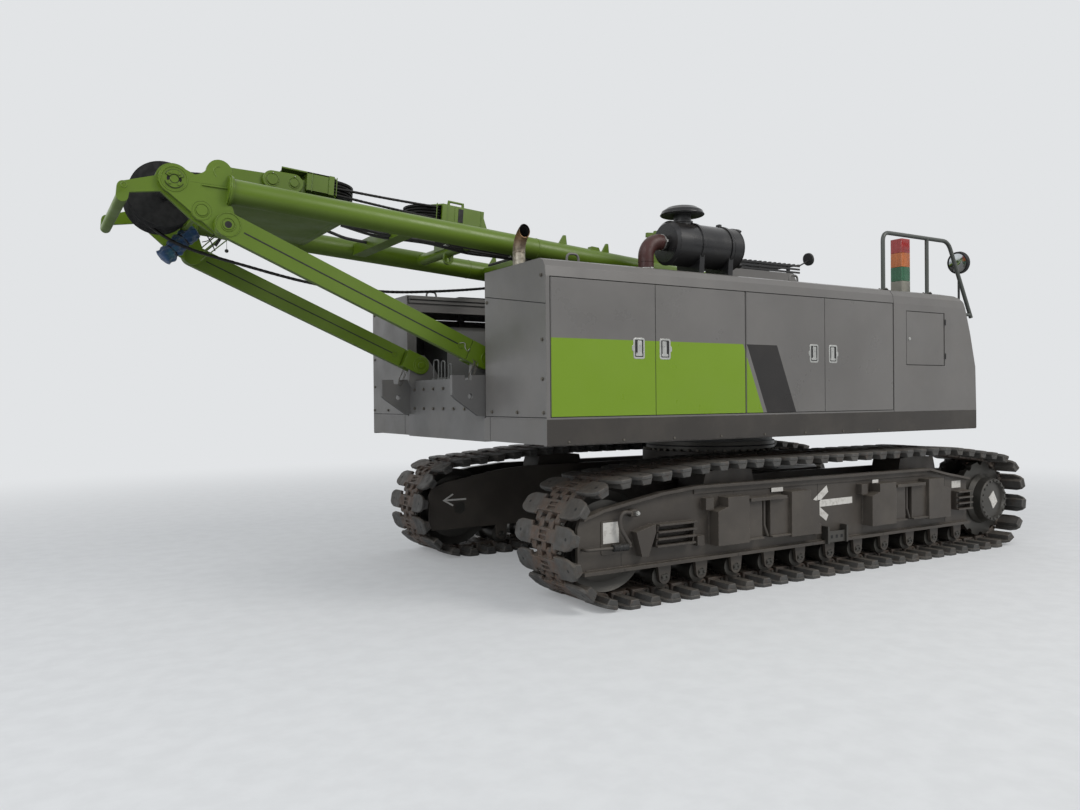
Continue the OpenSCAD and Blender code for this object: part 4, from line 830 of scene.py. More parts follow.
class CRANE_OT_stage(bpy.types.Operator):
    """Makes the camera, the pale floor, the lamps and the background"""
    bl_idname = "crane.stage"
    bl_label = "Stage"

    def execute(self, context):
        colours = context.scene.crane_colours
        scene = context.scene
        scene.view_settings.view_transform = "Standard"
        data = bpy.data.cameras.new("camera")
        data.sensor_width = SENSOR
        data.lens = FOCAL_PX / IMAGE_W * SENSOR
        data.clip_end = 500
        camera = bpy.data.objects.new("camera", data)
        context.collection.objects.link(camera)
        camera.matrix_world = camera_matrix()
        scene.camera = camera
        self.make_floor(colours)
        self.make_world(scene, colours)
        for name, settings in LAMPS.items():
            add_light(name, *settings)
        return {"FINISHED"}

    def make_floor(self, colours):
        """A level disc, its rim a circle about the origin; to the camera it fades into the background."""
        edge = ring_of(64, FLOOR_RADIUS, (0, 0, 0), "z")
        mesh = bpy.data.meshes.new("floor")
        mesh.from_pydata(edge.tolist(), [], [list(range(len(edge)))])
        floor = bpy.data.objects.new("floor", mesh)
        bpy.context.collection.objects.link(floor)
        paint = Paint("pale_floor", tuple(colours.stage), 0.9)
        grain = paint.noise(6, 5).to(0.3, 0.7, 0.96, 1.03)
        paint.set("Base Color", paint.scaled(tuple(colours.stage), grain))
        away = paint.node("ShaderNodeVectorMath", {"operation": "LENGTH"}, {0: paint.place()}, out="Value")
        seen = paint.node("ShaderNodeLightPath", out="Is Camera Ray") * away.to(*FADE, FADE_NEAR, 1.0)
        glow = paint.node("ShaderNodeEmission", values={"Color": (*colours.stage, 1), "Strength": 1.0})
        lit = Value(paint, paint.shader.outputs[0])
        mixed = paint.node("ShaderNodeMixShader", values={0: seen, 1: lit, 2: glow})
        paint.feed(paint.tree.nodes["Material Output"].inputs["Surface"], mixed)
        mesh.materials.append(paint.material)

    def make_world(self, scene, colours):
        """An even pale tone for the camera and in reflections, and a plain level of light on the object."""
        world = bpy.data.worlds.new("sky")
        scene.world = world
        world.use_nodes = True
        sky = Graph(world.node_tree)
        camera, through, gloss = (sky.node("ShaderNodeLightPath", out=f"Is {ray} Ray")
                                  for ray in ("Camera", "Transmission", "Glossy"))
        seen = gloss.maths("MAXIMUM", camera.maths("MAXIMUM", camera, through), gloss)
        strength = sky.node("ShaderNodeMapRange", values={"Value": seen, "To Min": SKY_SHARE, "To Max": 1.0})
        background = sky.tree.nodes["Background"].inputs
        sky.feed(background["Strength"], strength)
        sky.feed(background["Color"], (*colours.stage, 1))


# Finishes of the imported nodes

def give(finish_name, *names):
    """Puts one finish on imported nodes."""
    for name in names:
        slots = NODES[name].data.materials
        slots.clear()
        slots.append(finish(finish_name))


def sides(*stems):
    """Names of nodes on both sides."""
    return [f"{stem}_{side}" for stem in stems for side in "rl"]


class CRANE_OT_paint_undercarriage(bpy.types.Operator):
    """Paints the track frames, the carbody and the running gear"""
    bl_idname = "crane.paint_undercarriage"
    bl_label = "Paint undercarriage"

    def execute(self, context):
        give("chassis_enamel", "carbody", *sides("track_frame", "step_boxes"))
        give("running_steel", "slewing_ring", *sides("track", "sprocket", "idler", "rollers"))
        return {"FINISHED"}


class CRANE_OT_paint_upperworks(bpy.types.Operator):
    """Paints the houses, the decks, the main frame, the mast and the cab"""
    bl_idname = "crane.paint_upperworks"
    bl_label = "Paint upper works"

    def execute(self, context):
        give("lime_enamel", "mast", "rope_block", "bridle_block", "leg_bars", "leg_sleeves")
        give("livery_enamel", *[f"door_{side}{k}" for side in "rl" for k in range(1, 5)])
        give("panel_enamel", *sides("house"), "access_flap", "cab_shell", "cab_door")
        give("frame_enamel", "upper_frame")
        give("skirt_enamel", *sides("deck"))
        give("tank_enamel", "hydraulic_tank")
        give("machine_black", "engine_block")
        give("drum_steel", "winches")
        give("black_steel", "head_sheaves", "block_sheaves")
        give("guard_enamel", "cab_guard")
        give("cleaner_enamel", "air_cleaner")
        give("rail_enamel", "handrail")
        give("black_plastic", "mirror_r")
        give("lamp_body", "lamp_tower")
        give("elbow_silicone", "intake_elbow")
        give("heat_stained", "exhaust")
        give("seat_shell", "cab_seat")
        give("pane", "cab_glass")
        return {"FINISHED"}


# Running gear

WHEEL_X, WHEEL_Z, RAIL_R, RAIL_TOP = 2.345, 0.470, 0.385, 0.945
SHOE_PITCH = 0.192
PIN_H = 0.032
KNUCKLE_R = 0.030
FRAME_OUT, FRAME_IN = 1.545, 1.005
FRAME_LOW = 0.292
FRAME_EDGE = [(1.95, 0.717), (1.59, 0.779), (1.32, 0.837), (-1.59, 0.845), (-1.94, 0.815), (-2.46, 0.73),
              (-2.64, 0.678)]
ROLLERS = np.linspace(-1.88, 1.80, 11)
ROLLER_Z = 0.1703


def track_line():
    """Where the links run: arcs of centre + radius (cosine, sine), joined by lines over the skids."""
    arcs = []
    for side, start, end in ((1, -90.0, 83.2), (-1, 95.1, 270.0)):
        angles = np.radians(np.linspace(start, end, 160))
        x, z = side * WHEEL_X + RAIL_R * np.cos(angles), WHEEL_Z + RAIL_R * np.sin(angles)
        arcs.append(np.stack([x, z], 1))
    top = [(1.61, RAIL_TOP), (-1.36, RAIL_TOP)]
    return np.concatenate([[(-WHEEL_X, WHEEL_Z - RAIL_R)], arcs[0], top, arcs[1]])


def link_points():
    """The places between the shoes: even distances along the track line, the last at the first again."""
    return spaced(track_line(), SHOE_PITCH, 1)


def knuckle(start, side, p):
    """A lug's side outline: flat from the body, then a half circle round the hinge at one end of the shoe."""
    angles = np.radians(np.linspace(-90, 90, 6))
    x = (p if side > 0 else 0) + side * KNUCKLE_R * np.cos(angles)
    nose = np.stack([x, PIN_H + KNUCKLE_R * np.sin(angles)], 1)
    return np.concatenate([[(start * p, 0.002)], nose, [(start * p, 0.066)]])


def shoe(p):
    """One cast shoe of pitch p: X along the track, Y across it and Z outwards."""
    body = [(0.22, 0), (0.78, 0), (0.80, 0.045), (0.76, 0.066), (0.24, 0.066), (0.20, 0.045)]
    parts = [prism(np.array(body) * (p, 1), -0.172, 0.172, 0.006)]
    for y in (-0.13, 0.0, 0.13):
        parts.append(prism(knuckle(0.76, 1, p), y - 0.029, y + 0.029, 0.004))
    for y in (-0.065, 0.065):
        parts.append(prism(knuckle(0.24, -1, p), y - 0.031, y + 0.031, 0.004))
    # The raised grouser leaves two slots across the middle
    for low, high in ((0.23, 0.34), (0.48, 0.545), (0.685, 0.77)):
        parts.append(block((low * p, -0.055, 0.060), (high * p, 0.055, 0.084)))
    parts.append(block((0.23 * p, 0.05, 0.060), (0.77 * p, 0.165, 0.085), 0.005).both())
    wing = [(0.05, 0.155), (0.95, 0.155), (0.95, 0.305), (0.86, 0.362), (0.72, 0.392), (0.28, 0.392),
            (0.14, 0.362), (0.05, 0.305)]
    parts.append(prism(np.array(wing) * (p, 1), 0.056, 0.085, 0.005, "z").both())
    rib = [(0.24, 0.058), (0.76, 0.058), (0.68, 0.016), (0.32, 0.016)]
    parts.append(prism(np.array(rib) * (p, 1), 0.16, 0.386, 0.004).both())
    return join(*parts)


def lay_shoes(shape, points):
    """Copies of a shape, each with its X from a link point to the next and its Z square to it, outwards."""
    step = np.diff(points, axis=0)
    step /= np.linalg.norm(step, axis=1)[:, None]
    turns = np.zeros((len(step), 3, 3))
    turns[:, 0, 0], turns[:, 2, 0] = step[:, 0], step[:, 1]
    turns[:, 1, 1] = 1
    turns[:, 0, 2], turns[:, 2, 2] = step[:, 1], -step[:, 0]
    shifts = np.stack([points[:-1, 0], np.zeros(len(step)), points[:-1, 1]], 1)
    return shape.copies(shifts, turns)


class CRANE_OT_tracks(bpy.types.Operator):
    """Builds both loops of cast shoes, hinged to each other by pins"""
    bl_idname = "crane.tracks"
    bl_label = "Tracks"

    def execute(self, context):
        points = link_points()
        pitch = np.linalg.norm(points[1] - points[0])
        loop = lay_shoes(shoe(pitch), points)
        pins = lay_shoes(disc(0.015, -0.178, 0.178, 10, 0.003, "y", (0, 0, PIN_H)), points)
        # Painted shade: thin dark discs on the shoes' wings stand in for the holes through them
        holes = lay_shoes(disc(0.013, 0.0845, 0.0853, 8, 0, "z", (pitch / 2, 0.31, 0)).both(), points)
        for side, sign in (("r", -1), ("l", 1)):
            shift = (0, sign * TRACK_Y, 0)
            shoes = on_ground(f"track_shoes_{side}", loop.placed(shift), "shoe_steel", sharp=30)
            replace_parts(shoes, f"track_{side}")
            on_ground(f"track_pins_{side}", pins.placed(shift), "running_steel")
            on_ground(f"shoe_hole_shade_{side}", holes.placed(shift), "seal_rubber")
        return {"FINISHED"}


class CRANE_OT_frame_trim(bpy.types.Operator):
    """Adds the track frames' welds, seams, axle bolts, tension gear, marks and blank plates"""
    bl_idname = "crane.frame_trim"
    bl_label = "Track frame trim"

    def execute(self, context):
        sizes = context.scene.crane_sizes
        face = -FRAME_OUT
        self.welds(face, sizes.bead)
        self.axle_bolts(face, sizes.bolt)
        self.tension_gear(face)
        self.marks(face)
        self.hub(sizes.bolt)
        self.bracket()
        self.pipes()
        return {"FINISHED"}

    def welds(self, face, bead):
        """Beads under the top plate, on the lower flange and beside the beams' boxes, and dark seams."""
        edge = np.array(FRAME_EDGE)[::-1]
        under = np.stack([edge[:, 0], np.full(len(edge), face - 0.002), edge[:, 1] - 0.026], 1)
        lower = [(x, face - 0.002, FRAME_LOW) for x in (-2.6, 1.9)]
        beads = [tube(spaced(under, 0.08), bead, 6), tube(lower, bead, 6)]
        for x in (-0.863, 0.962):
            for end in (-0.572, 0.572):
                upright = [(x + end, face - 0.003, z) for z in (0.38, 0.66)]
                beads.append(tube(upright, bead * 0.8, 6))
        on_frames("frame_welds", join(*beads), "chassis_enamel")
        seams = [block((x - 0.0015, face - 0.0012, low), (x + 0.0015, face + 0.001, high))
                 for x, low, high in ((-2.288, FRAME_LOW, 0.47), (-1.165, 0.765, 0.82),
                                      (-0.19, FRAME_LOW, 0.80), (1.60, FRAME_LOW, 0.74))]
        lower = [block((x - 0.0015, face - 0.0462, 0.266), (x + 0.0015, face - 0.03, 0.289))
                 for x in (-2.288, -1.165, -0.30, 0.62)]
        on_frames("frame_seams", join(*seams, *lower), "seal_rubber")

    def axle_bolts(self, face, size):
        """A keeper plate and two bolts on each roller's axle, on both faces of the frame."""
        plate = prism(rounded_box(0.068, 0.040, 0.012, steps=2), -0.005, 0.0)
        keeper = join(plate, bolts([(-0.021, -0.005, 0), (0.021, -0.005, 0)], size * 0.55, away=-1))
        places = np.stack([ROLLERS, np.full(len(ROLLERS), face), np.full(len(ROLLERS), ROLLER_Z)], 1)
        inside = keeper.mirrored().copies(places * (1, 0, 1) - (0, FRAME_IN, 0))
        on_frames("axle_keepers", join(keeper.copies(places), inside), "running_steel", sharp=30)

    def tension_gear(self, face):
        """The cover of the idler's axle, the hooked bar, its rod and the hose wound on it."""
        cover = prism(rounded_box(0.19, 0.25, 0.02, (-2.375, 0.515)), face - 0.006, face + 0.001, 0.002)
        rod = tube(bent([(-2.635, face, 0.452), (-2.635, face - 0.06, 0.452), (-2.23, face - 0.06, 0.445),
                         (-2.23, face, 0.445)], 0.03, 4), 0.011, 10)
        arm = tube(bent([(-2.19, face - 0.03, 0.684), (-2.315, face - 0.045, 0.70),
                         (-2.34, face - 0.05, 0.60), (-2.25, face - 0.06, 0.46)], 0.07, 6), 0.015, 10)
        foot = block((-2.225, face - 0.05, 0.655), (-2.165, face + 0.001, 0.71), 0.006)
        on_frames("tension_cover", join(cover, rod, arm, foot), "chassis_enamel")
        path = spaced([(-2.405, face - 0.06, 0.449), (-2.275, face - 0.06, 0.446)], 0.0035)
        swell = 0.024 + 0.004 * np.abs(np.sin(np.arange(len(path)) * np.pi / 5.5))
        on_frames("wound_hose", tube(path, swell, 16), "hose_rubber")
        head = join(disc(0.016, -0.03, 0.0, 16, 0.003, "y", (-2.19, face - 0.045, 0.684)),
                    bolts([(-2.19, face - 0.075, 0.684)], 0.026, away=-1))
        on_frames("tension_head", head, "bright_steel")

    def marks(self, face):
        """Blank plates, and a plain arrow for the direction of travel on each face of the frame."""
        plates = [block((-2.453, face - 0.008, 0.475), (-2.312, face - 0.0055, 0.627)),
                  block((-0.757, face - 0.0145, 0.742), (-0.623, face - 0.0115, 0.776)),
                  block((1.715, face - 0.0022, 0.622), (1.858, face + 0.0005, 0.69)),
                  block((0.455, face - 0.0615, 0.748), (0.535, face - 0.0595, 0.777))]
        arrow = [[(-0.29, 0.574), (0.257, 0.580), (0.257, 0.637), (-0.29, 0.634)],
                 [(-0.31, 0.600), (-0.075, 0.756), (-0.055, 0.700), (-0.20, 0.600)],
                 [(-0.31, 0.602), (-0.20, 0.602), (-0.055, 0.500), (-0.082, 0.450)]]
        arrow = [prism(stroke, face - 0.001, face + 0.001) for stroke in arrow]
        on_frames("frame_marks", join(*plates, *arrow), "label_film")
        arrow = [[(-2.50, 0.541), (-2.276, 0.541), (-2.276, 0.557), (-2.50, 0.557)],
                 [(-2.53, 0.549), (-2.424, 0.611), (-2.412, 0.599), (-2.50, 0.549)],
                 [(-2.53, 0.549), (-2.50, 0.549), (-2.412, 0.499), (-2.424, 0.487)]]
        arrow = [prism(stroke, -FRAME_IN, -FRAME_IN + 0.001) for stroke in arrow]
        on_frames("rear_arrow", join(*arrow), "label_film")

    def hub(self, size):
        """Bolts round the drive's cover and a blank square plate on its middle, one corner up."""
        centre = (WHEEL_X, -1.595, WHEEL_Z)
        heads = bolts(ring_of(20, 0.193, centre), size * 0.6, away=-1)
        on_frames("hub_bolts", heads, "running_steel", sharp=30)
        corners = np.array([(-0.032, -0.072), (0.050, -0.050), (0.032, 0.072), (-0.050, 0.050)])
        plate = prism(corners @ [[1, 0.5], [-0.4, 1]] + (WHEEL_X, WHEEL_Z), -1.5895, -1.581)
        on_frames("hub_plate", plate, "label_film")

    def bracket(self):
        """A bolted bracket on the lower flange, between two upright tabs, with patches of painted shade for
        its square holes.
        """
        y = -1.590
        plate = block((-0.128, y - 0.012, 0.268), (0.096, y - 0.001, 0.366), 0.003)
        tabs = [block((x - 0.010, y - 0.03, 0.262), (x + 0.010, y + 0.04, 0.412), 0.003)
                for x in (-0.135, 0.103)]
        on_frames("towing_bracket", join(plate, *tabs), "running_steel")
        # Painted shade: dark patches on the plate stand in for its square holes
        holes = [block((x - 0.013, y - 0.0132, 0.304), (x + 0.013, y - 0.0105, 0.332))
                 for x in (-0.078, -0.016, 0.046)]
        on_frames("bracket_holes", join(*holes), "seal_rubber")

    def pipes(self):
        """Steel pipes from the middle to each drive, clamped on the frame's inner face."""
        pipes = []
        for k in range(3):
            y, z = -FRAME_IN + 0.030, 0.60 + 0.042 * k
            path = bent([(0.74 - 0.05 * k, -0.72, 0.80), (0.80 - 0.05 * k, y + 0.01, z + 0.02), (1.3, y, z),
                         (2.06, y, z - 0.03), (2.06, -FRAME_IN - 0.02, z - 0.03)], 0.08, 5)
            pipes.append(tube(path, 0.012, 10))
        clamps = [block((x, -FRAME_IN - 0.002, 0.575), (x + 0.05, -FRAME_IN + 0.046, 0.71), 0.004)
                  for x in (1.34, 1.72)]
        on_frames("drive_pipes", join(*pipes, *clamps), "chassis_enamel")


class CRANE_OT_carbody_trim(bpy.types.Operator):
    """Adds the slewing ring's bolts and seal, and the carbody's welds"""
    bl_idname = "crane.carbody_trim"
    bl_label = "Carbody trim"

    def execute(self, context):
        sizes = context.scene.crane_sizes
        lower = bolts(ring_of(48, 0.66, (0, 0, 1.010), "z"), sizes.bolt, "z")
        on_ground("ring_bolts", lower, "bolt_steel", sharp=30)
        seal = lathe([(0.638, 1.052), (0.647, 1.055), (0.647, 1.063), (0.638, 1.066)], 96, loop=True)
        on_ground("ring_seal", seal, "seal_rubber")
        beads = []
        y = -FRAME_IN + 0.006
        for x in (-1.05, -0.71, 0.71, 1.05):
            away = 0.004 if abs(x) > 0.9 else -0.004
            x = x + math.copysign(away, x)
            beads.append(tube([(x, y, 0.395), (x, y, 0.765)], sizes.bead, 6).both())
        ring = lathe([(0.679, 0.770), (0.692, 0.770), (0.679, 0.783)], 72, loop=True)
        on_ground("carbody_welds", join(ring, *beads), "chassis_enamel")
        return {"FINISHED"}


# House, roof and engine room

LOCKS = (-2.186, -1.943, -0.338, -0.102)
LOCK_Z = 1.885
REAR_X = -2.979
JOINT_X = 0.7105
ENGINE_SIDE = -1.449
CYLINDERS = -2.36 + 0.19 * np.arange(6)
# The middle of the air cleaner's rear end, and its radius
CLEANER = (-1.56, -1.20, ROOF + 0.285)
CLEANER_R = 0.175


def line(*points, radius=0.002):
    """A thin dark joint or a fine bead along points."""
    return tube(points, radius, 4)


class CRANE_OT_latches(bpy.types.Operator):
    """Builds the paddle latches, each riding on its door, and the flap's knob and hinge"""
    bl_idname = "crane.latches"
    bl_label = "Latches"

    def execute(self, context):
        for k, x in enumerate(LOCKS):
            side = 1 if k % 2 else -1
            self.latch(k + 1, np.array([x, -HOUSE_SIDE, LOCK_Z]), side)
        self.flap()
        return {"FINISHED"}

    def latch(self, k, place, side):
        """A frame round a well of painted shade, with its paddle, its key barrel and a boss away from the
        joint.
        """
        frame = rim(rounded_box(0.096, 0.146, 0.016), 0.010, -0.0024, 0.001)
        flange = rim(rounded_box(0.104, 0.154, 0.020), 0.008, -0.0014, 0.001)
        paddle = prism(rounded_box(0.040, 0.098, 0.008, (-0.006 * side, 0.008)), -0.0026, 0.0, 0.001)
        grip = prism(rounded_box(0.062, 0.020, 0.008, (0, -0.046)), -0.0022, 0.0, 0.001)
        barrel = disc(0.009, -0.0028, 0.0, 16, 0.0005, "y", (-0.006 * side, 0, 0.02))
        boss = prism(rounded_box(0.022, 0.040, 0.010, (0.054 * side, 0)), -0.0022, 0.001, 0.001)
        bright = join(frame, flange, paddle, grip, barrel, boss).placed(place)
        # Painted shade: a flat dark plate inside the frame and a dark slot stand in for the recess and the
        # keyhole
        well = prism(rounded_box(0.080, 0.130, 0.010), -0.0008, 0.001).placed(place)
        keyhole = block((-0.0012, -0.0029, 0.014), (0.0012, -0.0026, 0.026))
        dark = join(well, keyhole.placed(place - (0.006 * side, 0, 0)))
        for letter in "rl":
            make_piece(f"latch_{letter}{k}", bright, "bright_steel", f"door_{letter}{k}")
            make_piece(f"latch_recess_shade_{letter}{k}", dark, "seal_rubber", f"door_{letter}{k}")
            bright, dark = bright.mirrored(), dark.mirrored()

    def flap(self):
        """The access flap's slotted knob, and the tabs of its hinge on the house."""
        face = -HOUSE_SIDE
        slot = prism(rounded_box(0.008, 0.024, 0.003, (0.935, 2.045)), face - 0.010, face - 0.005)
        knob = join(disc(0.016, -0.006, 0.001, 20, 0.002, "y", (0.935, face, 2.045)), slot)
        make_piece("flap_knob", knob, "bright_steel", "access_flap")
        tabs = [prism(rounded_box(0.014, 0.055, 0.005, (1.473, z)), face - 0.005, face + 0.001, 0.001)
                for z in (1.895, 2.215)]
        make_piece("flap_hinges", join(*tabs), "seal_rubber")


class CRANE_OT_house_trim(bpy.types.Operator):
    """Adds the houses' panel joints, rear joints, screws, roof joints, lifting eyes and grille"""
    bl_idname = "crane.house_trim"
    bl_label = "House trim"

    def execute(self, context):
        side = HOUSE_SIDE
        corner = ((0, 2.362), (0, 2.361), (0.008, 2.43), (0.038, 2.476), (0.080, ROOF), (side - 0.775, ROOF))
        joints = [line(*[(JOINT_X, -side + y, z) for y, z in corner])]
        for x in (-2.035, -1.118, -0.204):
            joints.append(line((x, -side + 0.080, ROOF), (x, -0.775, ROOF)))
        joints.append(line((-2.975, -side + 0.100, ROOF), (1.50, -side + 0.100, ROOF), radius=0.0015))
        rear = [line((REAR_X, -0.768, 2.305), (REAR_X, -side + 0.003, 2.172), radius=0.003),
                line((REAR_X, -0.768, 1.3945), (REAR_X, -side + 0.002, 1.3945), radius=0.003),
                line((REAR_X, -0.835, 1.212), (REAR_X, -0.835, 1.39), radius=0.002)]
        lower = line((JOINT_X, -side, 1.383), (JOINT_X, -side, 1.397))
        make_piece("rear_joints_r", join(*rear), "seal_rubber")
        make_piece("rear_joints_l", join(*rear[1:]).mirrored(), "seal_rubber")
        make_piece("house_joints_r", join(*joints, lower), "seal_rubber")
        make_piece("house_joints_l", join(*joints[1:4]).mirrored(), "seal_rubber")
        spots = ((1.595, 2.37), (0.80, 2.26), (1.60, 1.93), (0.87, 1.43), (1.25, 1.43), (1.61, 1.43),
                 (1.60, 1.66))
        screws = bolts([(REAR_X, -y, z) for y, z in spots], 0.020, "x", -1)
        on_sides("rear_screws", screws, "bolt_steel", sharp=30)
        low = [(-2.8 + 0.47 * k, -side + 0.004, 1.225) for k in range(8)]
        on_sides("skirt_screws", bolts(low, 0.016, away=-1), "bolt_steel", sharp=30)
        self.roof()
        return {"FINISHED"}

    def roof(self):
        """Lifting eyes on both roofs, the left roof's grille over a sheet of painted shade, and its filler
        cap.
        """
        eyes = []
        for x in (-2.62, -0.35):
            for y in (-1.02, -1.44):
                arch = [(x + dx, y, ROOF + dz) for dx, dz in ((-0.05, -0.002), (-0.05, 0.075), (0.05, 0.075),
                                                              (0.05, -0.002))]
                pad = prism(rounded_box(0.15, 0.05, 0.012, (x, y)), ROOF - 0.001, ROOF + 0.006, 0.002, "z")
                eyes += [tube(bent(arch, 0.045, 5), 0.009, 10), pad]
        on_sides("lifting_eyes", join(*eyes), "panel_enamel")
        louvre = block((-0.010, -0.30, -0.001), (0.010, 0.30, 0.004)).placed(turn=turn_y(0.6))
        louvres = louvre.copies([(x, 1.2, ROOF + 0.014) for x in np.arange(-2.34, -1.30, 0.036)])
        rimmed = rim(rounded_box(1.12, 0.66, 0.03, (-1.835, 1.2)), 0.028, ROOF - 0.001, ROOF + 0.026, "z")
        make_piece("roof_grille", join(rimmed, louvres), "guard_enamel")
        # Painted shade: a dark sheet on the roof under the grille stands in for the opening below it
        well = block((-2.37, 0.89, ROOF + 0.0005), (-1.30, 1.51, ROOF + 0.002))
        make_piece("grille_well", well, "seal_rubber")
        cap = join(disc(0.055, ROOF - 0.001, ROOF + 0.03, 32, 0.006, "z", (-0.65, 1.25, 0)),
                   disc(0.045, ROOF + 0.028, ROOF + 0.05, 32, 0.008, "z", (-0.65, 1.25, 0)),
                   block((-0.66, 1.21, ROOF + 0.048), (-0.64, 1.29, ROOF + 0.062), 0.004))
        make_piece("filler_cap", cap, "black_plastic")


class CRANE_OT_engine_room(bpy.types.Operator):
    """Dresses the engine, its cooler and the tanks behind the doors"""
    bl_idname = "crane.engine_room"
    bl_label = "Engine room"

    def execute(self, context):
        covers = []
        for x in CYLINDERS:
            covers.append(prism(rounded_box(0.165, 0.30, 0.02, (x, -1.20)), 2.148, 2.225, 0.012, "z"))
            covers.append(prism(rounded_box(0.15, 0.12, 0.02, (x, 1.98)), -1.50, ENGINE_SIDE, 0.010))
        rail = bent([(-2.42, -1.49, 2.09), (-1.36, -1.49, 2.09), (-1.30, -1.40, 2.20)], 0.06)
        pan = prism([(-2.45, 1.43), (-1.30, 1.43), (-1.36, 1.60), (-2.39, 1.60)], -1.475, ENGINE_SIDE, 0.008)
        flange = block((-2.49, -1.462, 1.745), (-1.26, ENGINE_SIDE, 1.765), 0.003)
        make_piece("engine_covers", join(*covers, tube(rail, 0.026, 14), pan, flange), "machine_black")
        fastened = [(x, -1.463, 1.79) for x in np.linspace(-2.44, -1.31, 12)]
        top = [(x, -1.20, 2.2255) for x in CYLINDERS]
        heads = join(bolts(fastened, 0.018, away=-1), bolts(top, 0.022, "z"))
        make_piece("engine_bolts", heads, "bolt_steel", sharp=30)
        profile = [(0, 1.62), (0.045, 1.62), (0.052, 1.635), (0.052, 1.84), (0.060, 1.85), (0.060, 1.885),
                   (0, 1.89)]
        filters = [lathe(profile, 32, "z", (x, -1.53, 0)) for x in (-2.30, -2.16)]
        arms = block((-2.37, -1.50, 1.885), (-2.09, ENGINE_SIDE, 1.925), 0.006)
        make_piece("oil_filters", join(*filters), "panel_enamel")
        make_piece("filter_head", arms, "bright_steel")
        pulleys = [disc(radius, -1.24, -1.19, 40, 0.006, "x", (0, y, z))
                   for radius, y, z in ((0.13, -1.20, 1.62), (0.07, -1.05, 1.92), (0.06, -1.36, 1.90))]
        fan = [block((-0.02, 0.06, -0.05), (0.0, 0.30, 0.05), 0.006).placed((-1.10, -1.18, 1.78), turn)
               for turn in turns_x(np.arange(7) * 2 * np.pi / 7) @ turn_y(0.5)]
        hub = disc(0.08, -1.19, -1.09, 32, 0.01, "x", (0, -1.18, 1.78))
        make_piece("engine_fan", join(*pulleys, *fan, hub), "machine_black")
        fins = [block((-0.86, -1.50, z), (-0.72, -0.86, z + 0.004)) for z in np.arange(1.44, 2.30, 0.016)]
        frame = [block((-0.88, y, 1.413), (-0.70, y + 0.03, 2.34), 0.004) for y in (-1.53, -0.86)]
        tanks = [block((-0.88, -1.53, z), (-0.70, -0.83, z + 0.05), 0.006) for z in (1.413, 2.30)]
        make_piece("cooler", join(*fins, *frame, *tanks), "machine_black")
        routes = ([(-1.28, -1.30, 2.10), (-1.10, -1.42, 2.22), (-0.90, -1.42, 2.20)],
                  [(-1.28, -1.40, 1.55), (-1.10, -1.44, 1.50), (-0.90, -1.40, 1.50)])
        hoses = [tube(bent(route, 0.08), 0.032, 16) for route in routes]
        make_piece("cooler_pipes", join(*hoses), "hose_rubber")
        self.tank_fittings()
        return {"FINISHED"}

    def tank_fittings(self):
        """A level gauge, a filler cap and two straps on each tank."""
        gauges, caps, straps = [], [], []
        for x, y, top, low, high in ((-2.10, 1.48, 2.232, -2.5, -1.7), (-0.65, 1.45, 2.002, -1.1, -0.2)):
            gauges.append(block((x - 0.012, y - 0.001, 1.60), (x + 0.012, y + 0.014, 1.86), 0.004))
            caps.append(disc(0.06, top - 0.001, top + 0.035, 32, 0.008, "z", (x + 0.2, y - 0.2, 0)))
            for strap in (low + 0.15, high - 0.15):
                straps.append(block((strap - 0.02, y - 0.001, 1.45), (strap + 0.02, y + 0.004, top - 0.045)))
        make_piece("tank_gauges", join(*gauges), "lens_clear")
        make_piece("tank_caps", join(*caps), "black_plastic")
        make_piece("tank_straps", join(*straps), "guard_enamel")


